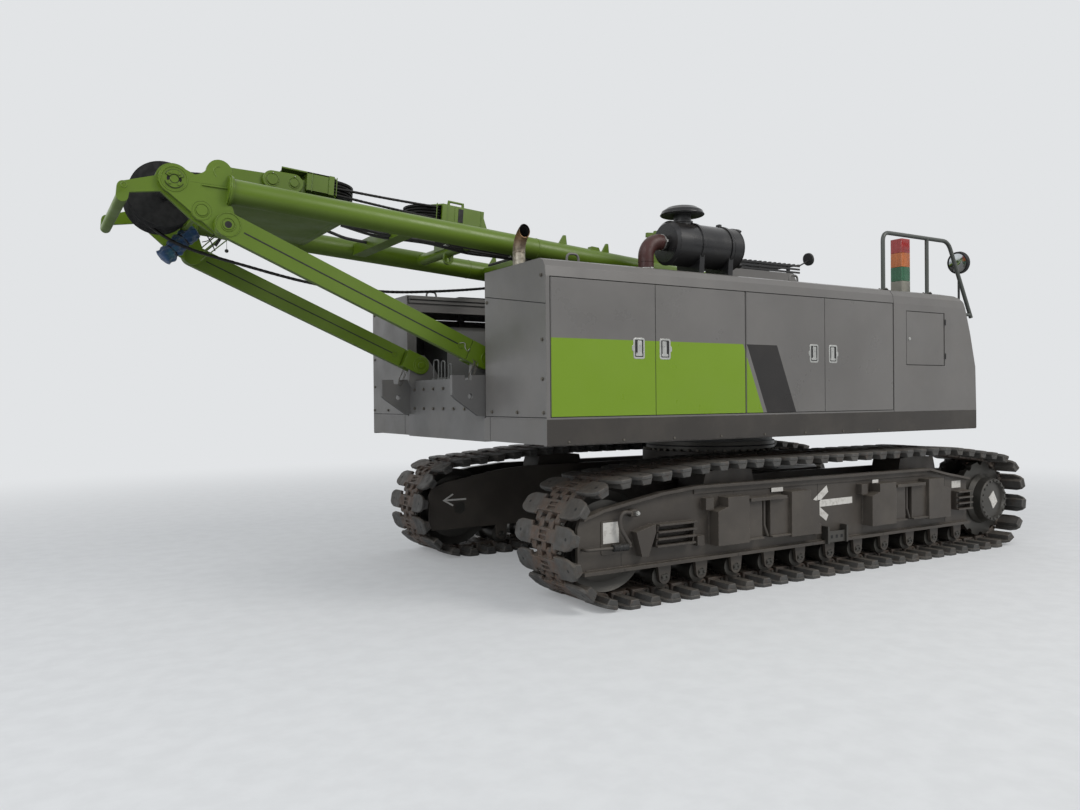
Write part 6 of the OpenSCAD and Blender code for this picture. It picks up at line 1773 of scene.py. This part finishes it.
class CRANE_OT_leg_trim(bpy.types.Operator):
    """Adds the legs' grooves, eye rings and the pins on their wires"""
    bl_idname = "crane.leg_trim"
    bl_label = "Leg trim"

    def execute(self, context):
        top = -LEG_LENGTH
        grooves, rings, feet, wires = [], [], [], []
        for face, out in zip(LEG_FACES, (-1, 1)):
            grooves.append(block((top + 0.11, min(face, face + 0.0015 * out), -0.0045),
                                 (-0.27, max(face, face + 0.0015 * out), 0.0045)))
            level = face + 0.002 * out
            rings += [ring_y((top, 0), r, level, 0.003) for r in (0.044, 0.078)]
            rings.append(ring_y((-0.245, 0), 0.022, level, 0.003))
            feet.append(ring_y((0, 0), 0.050, level, 0.003))
        on_sides("leg_grooves", join(*grooves), "seal_rubber", "leg_sleeves", on=ON_LEG)
        on_sides("leg_rings", join(*rings), "lime_enamel", "leg_sleeves", on=ON_LEG)
        round_end = arc((0, 0), FOOT, 90, -90, 24)
        cheek = prism(np.concatenate([round_end, [(-0.16, -FOOT), (-0.16, FOOT)]]), -0.590, -0.572, 0.003)
        bridge = block((-0.16, -0.640, -FOOT + 0.002), (-0.132, -0.574, FOOT - 0.002), 0.002)
        pin = disc(0.029, -0.590, -0.562, 32, 0.003, "y")
        fork = join(cheek, bridge, pin, ring_y((0, 0), 0.052, -0.572, 0.003),
                    ring_y((0, 0), 0.070, -0.572, 0.002))
        on_sides("foot_forks", join(*feet, fork), "lime_enamel", "leg_bars", on=ON_LEG)
        head = disc(0.034, -0.7025, -0.696, 32, 0.002, "y", (top, 0, 0))
        on_sides("leg_eye_caps", head, "lime_enamel", "leg_sleeves", on=ON_LEG)
        # Painted shade: a thin dark disc on the eye's cap stands in for its bore
        bore = disc(0.023, -0.7035, -0.702, 32, 0.0005, "y", (top, 0, 0))
        on_sides("leg_eye_bores", bore, "seal_rubber", "leg_sleeves", on=ON_LEG)
        clip = tube(flowing([(-0.262, -0.701, 0.010), (-0.225, -0.704, 0.028), (-0.205, -0.703, -0.004),
                             (-0.175, -0.701, -0.018), (-0.168, -0.701, 0.006)]), 0.003, 6)
        on_sides("leg_clips", clip, "bright_steel", "leg_sleeves", on=ON_LEG)
        for dx, drop, swing in ((-0.115, 0.12, 0.03), (-0.075, 0.155, -0.02)):
            low = dx + swing * 0.6
            path = [(dx, -0.700, -0.055), (dx + swing, -0.702, -0.09), (low, -0.702, -0.055 - drop),
                    (low + 0.018, -0.702, -0.075 - drop), (low + 0.034, -0.702, -0.055 - drop),
                    (dx + swing * 0.5 + 0.030, -0.702, -0.095), (dx + 0.016, -0.700, -0.060)]
            wires.append(tube(flowing(path, 6), 0.0025, 6))
        on_sides("leg_lanyards", join(*wires), "bolt_steel", "leg_bars", on=ON_LEG)
        return {"FINISHED"}


# Cab

CAB_SIDE = 1.647
CAB_MIDDLE = 1.2185
SEAT = np.array([1.47, CAB_MIDDLE, 1.2903])


def front_x(z):
    """The windscreen's lean: the front wall's X at a height."""
    return np.interp(z, (1.25, 1.50, 1.87, 2.48, 2.98), (2.19, 2.36, 2.45, 2.39, 2.16))


def cushion(width, depth, thick, crown, seams, rows=40, columns=128):
    """A crowned pad: rings of a squarish outline with bulged sides, the top raised by one minus the square of
    the distance from the middle, and a dip along each seam that falls off as a bell curve beside it."""
    outline = oval(2, columns, 0.42)
    t = np.linspace(0, 1, rows)
    share = np.interp(t, (0, 0.22, 0.40, 1.0), (0.0, 0.95, 0.95, 0.0))
    side = np.clip((t - 0.22) / 0.18, 0, 1)
    share = share + 0.05 * np.sin(np.pi * side) * (t < 0.41)
    height = thick * side + crown * (1 - (share / 0.95) ** 2) * (t > 0.40)
    grid = np.zeros((rows, columns, 3))
    grid[..., 0] = share[:, None] * outline[:, 0] * depth / 2
    grid[..., 1] = share[:, None] * outline[:, 1] * width / 2
    grid[..., 2] = height[:, None]
    top = (t > 0.42)[:, None]
    for axis, place in seams:
        grid[..., 2] -= top * 0.009 * np.exp(-((grid[..., axis] - place) / 0.008) ** 2)
    return skin(grid)


class CRANE_OT_cab(bpy.types.Operator):
    """Seals and glazes the cab, and fits its handle, wiper, lamps, seat and controls"""
    bl_idname = "crane.cab"
    bl_label = "Cab"

    def execute(self, context):
        self.seals()
        self.door()
        self.seat()
        self.controls()
        self.outside()
        return {"FINISHED"}

    def seals(self):
        """Rubber round the windscreen's two panes, which lean with it, and round the rear and inner panes."""
        frames = []
        for low, high in ((1.95, 2.81), (1.53, 1.84)):
            corners = rounded_box(0.637, high - low, 0.05, (CAB_MIDDLE, (low + high) / 2), 5)
            path = spaced(np.concatenate([corners, corners[:1]]), 0.03)[:-1]
            path = np.stack([front_x(path[:, 1]) + 0.002, path[:, 0], path[:, 1]], 1)
            frames.append(tube(path, 0.013, 8, loop=True))
        rear = inset(rounded_box(0.66, 0.62, 0.05, (CAB_MIDDLE, 2.545), 5), -0.02)
        rear = rim(rear, 0.04, 1.042, 1.056, "x")
        inner = rounded([(1.17, 2.03), (2.28, 1.95), (2.26, 2.48), (2.11, 2.85), (1.17, 2.85)], 0.05, 4)
        side = rim(inset(inner, -0.02), 0.040, 0.784, 0.796)
        make_piece("cab_seals", join(*frames, rear, side), "seal_rubber")

    def door(self):
        """The door's pane between two seals, its handle, its pressed lower panel and its three hinges."""
        opening = rounded([(1.25, 2.05), (2.03, 2.05), (2.03, 2.83), (1.25, 2.83)], 0.05, 4)
        pane = prism(inset(opening, 0.001), CAB_SIDE - 0.026, CAB_SIDE - 0.020)
        make_piece("door_pane", pane, "pane", "cab_door")
        seal = rim(inset(opening, -0.018), 0.036, CAB_SIDE - 0.002, CAB_SIDE + 0.008)
        seal = join(seal, rim(inset(opening, -0.018), 0.036, CAB_SIDE - 0.048, CAB_SIDE - 0.038))
        make_piece("door_seal", seal, "seal_rubber", "cab_door")
        bar = [(2.075, CAB_SIDE + out, z)
               for out, z in ((-0.001, 1.72), (0.018, 1.72), (0.018, 1.94), (-0.001, 1.94))]
        bar = tube(bent(bar, 0.015, 4), 0.008, 10)
        plate = prism(rounded_box(0.05, 0.09, 0.01, (2.075, 1.62)), CAB_SIDE - 0.001, CAB_SIDE + 0.006, 0.002)
        make_piece("door_handle", join(bar, plate), "black_plastic", "cab_door")
        lower = rounded([(1.24, 1.42), (2.04, 1.42), (2.04, 1.95), (1.24, 1.95)], 0.04, 4)
        make_piece("door_press", rim(lower, 0.006, CAB_SIDE - 0.001, CAB_SIDE + 0.002), "panel_enamel",
                   "cab_door")
        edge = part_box("cab_door")[0][0]
        heights = (1.50, 2.12, 2.76)
        hinges = [disc(0.014, z - 0.05, z + 0.05, 16, 0.002, "z", (edge - 0.021, CAB_SIDE + 0.008, 0))
                  for z in heights]
        leaf = block((edge - 0.062, CAB_SIDE - 0.001, -0.045), (edge - 0.026, CAB_SIDE + 0.005, 0.045), 0.002)
        leaves = [leaf.placed((0, 0, z)) for z in heights]
        make_piece("cab_hinges", join(*hinges, *leaves), "black_plastic")

    def seat(self):
        """The seat on its bellows of five waves between two consoles, with its three cushions."""
        x, y, z = SEAT
        levels = np.linspace(0, 1, 25)
        width = 0.16 + 0.022 * np.cos(levels * 2 * np.pi * 5)
        outline = rounded_box(2.0, 2.0, 0.3, steps=5)
        grid = np.zeros((25, len(outline), 3))
        grid[..., 0], grid[..., 1] = outline[:, 0] * width[:, None], outline[:, 1] * width[:, None]
        grid[..., 2] = 0.05 + 0.20 * levels[:, None]
        shell_back = rounded([(-0.285, 0.36), (-0.21, 0.36), (-0.29, 1.05), (-0.335, 1.05)], 0.02, 3)
        console = join(block((-0.06, 0.24, 0.001), (0.42, 0.38, 0.50), 0.02),
                       block((-0.10, 0.25, 0.545), (0.30, 0.37, 0.585), 0.014),
                       block((-0.04, 0.29, 0.50), (0.0, 0.33, 0.546)))
        shell = join(block((-0.20, -0.18, 0.001), (0.20, 0.18, 0.05), 0.008),
                     block((-0.20, -0.18, 0.25), (0.20, 0.18, 0.298), 0.01),
                     prism(shell_back, -0.20, 0.20, 0.01), console.both())
        base = make_piece("seat_base", shell.placed(SEAT), "seat_shell")
        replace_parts(base, "cab_seat")
        bellows = make_piece("seat_bellows", skin(grid).placed(SEAT), "hose_rubber", sharp=70)
        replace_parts(bellows, "cab_seat")
        seams = [(0, -0.10), (0, 0.02), (0, 0.14), (1, -0.17), (1, 0.17)]
        bottom = cushion(0.48, 0.50, 0.085, 0.030, seams).placed(SEAT + (0, 0, 0.300))
        stand = turn_y(math.radians(83)) @ np.diag([-1.0, 1.0, 1.0])
        back = cushion(0.46, 0.66, 0.070, 0.028, [(0, -0.20), (0, -0.07), (0, 0.06), (1, -0.16), (1, 0.16)])
        rest = cushion(0.26, 0.15, 0.060, 0.016, [(1, 0.0)])
        for name, shape in (("seat_cushion", bottom),
                            ("seat_back", back.placed((x - 0.262, y, z + 0.745), stand)),
                            ("head_rest", rest.placed((x - 0.325, y, z + 1.16), stand))):
            pad = make_piece(name, shape, "seat_cloth", sharp=50)
            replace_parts(pad, "cab_seat")

    def controls(self):
        """Joysticks with rubber boots on the consoles, travel levers, pedals and a blank screen."""
        x, y, z = SEAT
        dark, boots = [], []
        for side in (-1, 1):
            at = (x + 0.34, y + side * 0.31, z + 0.50)
            boots.append(lathe([(0.045, 0), (0.040, 0.012), (0.036, 0.014), (0.030, 0.028), (0.026, 0.030),
                                (0.016, 0.046), (0, 0.048)], 20, "z", at))
            dark.append(lathe([(0, 0.04), (0.010, 0.04), (0.010, 0.10), (0.020, 0.12), (0.022, 0.17),
                               (0.016, 0.195), (0, 0.20)], 16, "z", at))
            lever = bent([(x + 0.62, y + side * 0.09, z + 0.01), (x + 0.60, y + side * 0.09, z + 0.42),
                          (x + 0.52, y + side * 0.09, z + 0.62)], 0.10, 6)
            dark.append(tube(lever, 0.009, 10))
            dark.append(disc(0.020, 0.60, 0.70, 16, 0.006, "z", (x + 0.515, y + side * 0.09, z)))
            dark.append(prism([(x + 0.56, z + 0.02), (x + 0.72, z + 0.09), (x + 0.72, z + 0.10),
                               (x + 0.56, z + 0.03)], y + side * 0.14 - 0.04, y + side * 0.14 + 0.04))
        place, lean = (2.20, 0.965, 2.08), turn_y(0.2)
        screen = block((-0.02, -0.13, -0.09), (0.02, 0.13, 0.09), 0.010).placed(place, lean)
        post = tube([(2.24, 0.90, 1.70), (2.22, 0.965, 2.02)], 0.012, 10)
        dark.append(block((2.02, 0.86, 1.295), (2.26, 1.0, 1.70), 0.02))
        make_piece("levers", join(*dark, screen, post), "black_plastic")
        make_piece("lever_boots", join(*boots), "seal_rubber", sharp=60)
        glow = block((-0.0225, -0.115, -0.075), (-0.019, 0.115, 0.075)).placed(place, lean)
        make_piece("screen_face", glow, "lens_clear")

    def outside(self):
        """The wiper, grab rails, work lamps under the roof's edge, the cab's joints and its roof bolts."""
        arm = [(front_x(z) + 0.016, y, z) for y, z in ((1.06, 1.90), (1.12, 2.05), (1.27, 2.42))]
        blade = [(front_x(z) + 0.010, y, z) for y, z in ((1.16, 2.16), (1.27, 2.42), (1.36, 2.62))]
        pivot = disc(0.020, 2.44, 2.462, 20, 0.004, "x", (0, 1.06, 1.90))
        rods = tube(flowing(arm), 0.006, 8), tube(flowing(blade), 0.007, 8)
        make_piece("wiper", join(*rods, pivot), "black_plastic")
        y = CAB_SIDE - 0.002
        rails = []
        for x, low, high in ((1.08, 1.55, 2.15), (2.22, 1.70, 2.30)):
            path = [(x, y, low), (x, y + 0.018, low), (x, y + 0.018, high), (x, y, high)]
            rails.append(tube(bent(path, 0.02, 4), 0.010, 10))
        make_piece("grab_rails", join(*rails), "rail_enamel")
        lamps, lenses = [], []
        for y in (0.93, 1.50):
            at = (2.20, y, 3.02)
            lamps += [disc(0.052, 0.0, 0.055, 24, 0.010, "x", at),
                      block((2.17, y - 0.02, 2.935), (2.20, y + 0.02, 3.01), 0.004)]
            lenses.append(disc(0.046, 0.050, 0.062, 24, 0.006, "x", at))
        make_piece("work_lamps", join(*lamps), "black_plastic")
        make_piece("work_lamp_lenses", join(*lenses), "lens_clear")
        seams = [line((1.06, CAB_SIDE, 2.99), (2.14, CAB_SIDE, 2.99)),
                 line((1.052, 0.80, 2.99), (1.052, 1.64, 2.99)),
                 line((1.06, CAB_SIDE, 1.30), (2.20, CAB_SIDE, 1.30))]
        make_piece("cab_joints", join(*seams), "seal_rubber")
        feet = bolts([(x, y, 3.041) for x in (1.2, 1.6, 2.0) for y in (0.90, 1.54)], 0.022, "z")
        make_piece("roof_bolts", feet, "bolt_steel", sharp=30)


OPERATORS = (CRANE_OT_stage, CRANE_OT_paint_undercarriage, CRANE_OT_paint_upperworks, CRANE_OT_tracks,
             CRANE_OT_frame_trim, CRANE_OT_carbody_trim, CRANE_OT_latches, CRANE_OT_house_trim,
             CRANE_OT_engine_room, CRANE_OT_roof_fittings, CRANE_OT_winch_ropes, CRANE_OT_main_frame_trim,
             CRANE_OT_mast_trim, CRANE_OT_slack_rope, CRANE_OT_leg_trim, CRANE_OT_cab)


class CRANE_PT_panel(bpy.types.Panel):
    """Lists the steps in the sidebar"""
    bl_label = "Crawler crane"
    bl_space_type = "VIEW_3D"
    bl_region_type = "UI"
    bl_category = "Crane"

    def draw(self, context):
        for group in (context.scene.crane_colours, context.scene.crane_sizes):
            for name in group.__annotations__:
                self.layout.prop(group, name)
        for operator in OPERATORS:
            self.layout.operator(operator.bl_idname)


CLASSES = (CraneColours, CraneSizes, *OPERATORS, CRANE_PT_panel)


def register():
    for cls in CLASSES:
        bpy.utils.register_class(cls)
    bpy.types.Scene.crane_colours = PointerProperty(type=CraneColours)
    bpy.types.Scene.crane_sizes = PointerProperty(type=CraneSizes)


def unregister():
    del bpy.types.Scene.crane_sizes
    del bpy.types.Scene.crane_colours
    for cls in reversed(CLASSES):
        bpy.utils.unregister_class(cls)


def main():
    """Registers the add-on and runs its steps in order."""
    register()
    for operator in OPERATORS:
        group, step = operator.bl_idname.split(".")
        getattr(getattr(bpy.ops, group), step)()


if __name__ == "__main__":
    main()
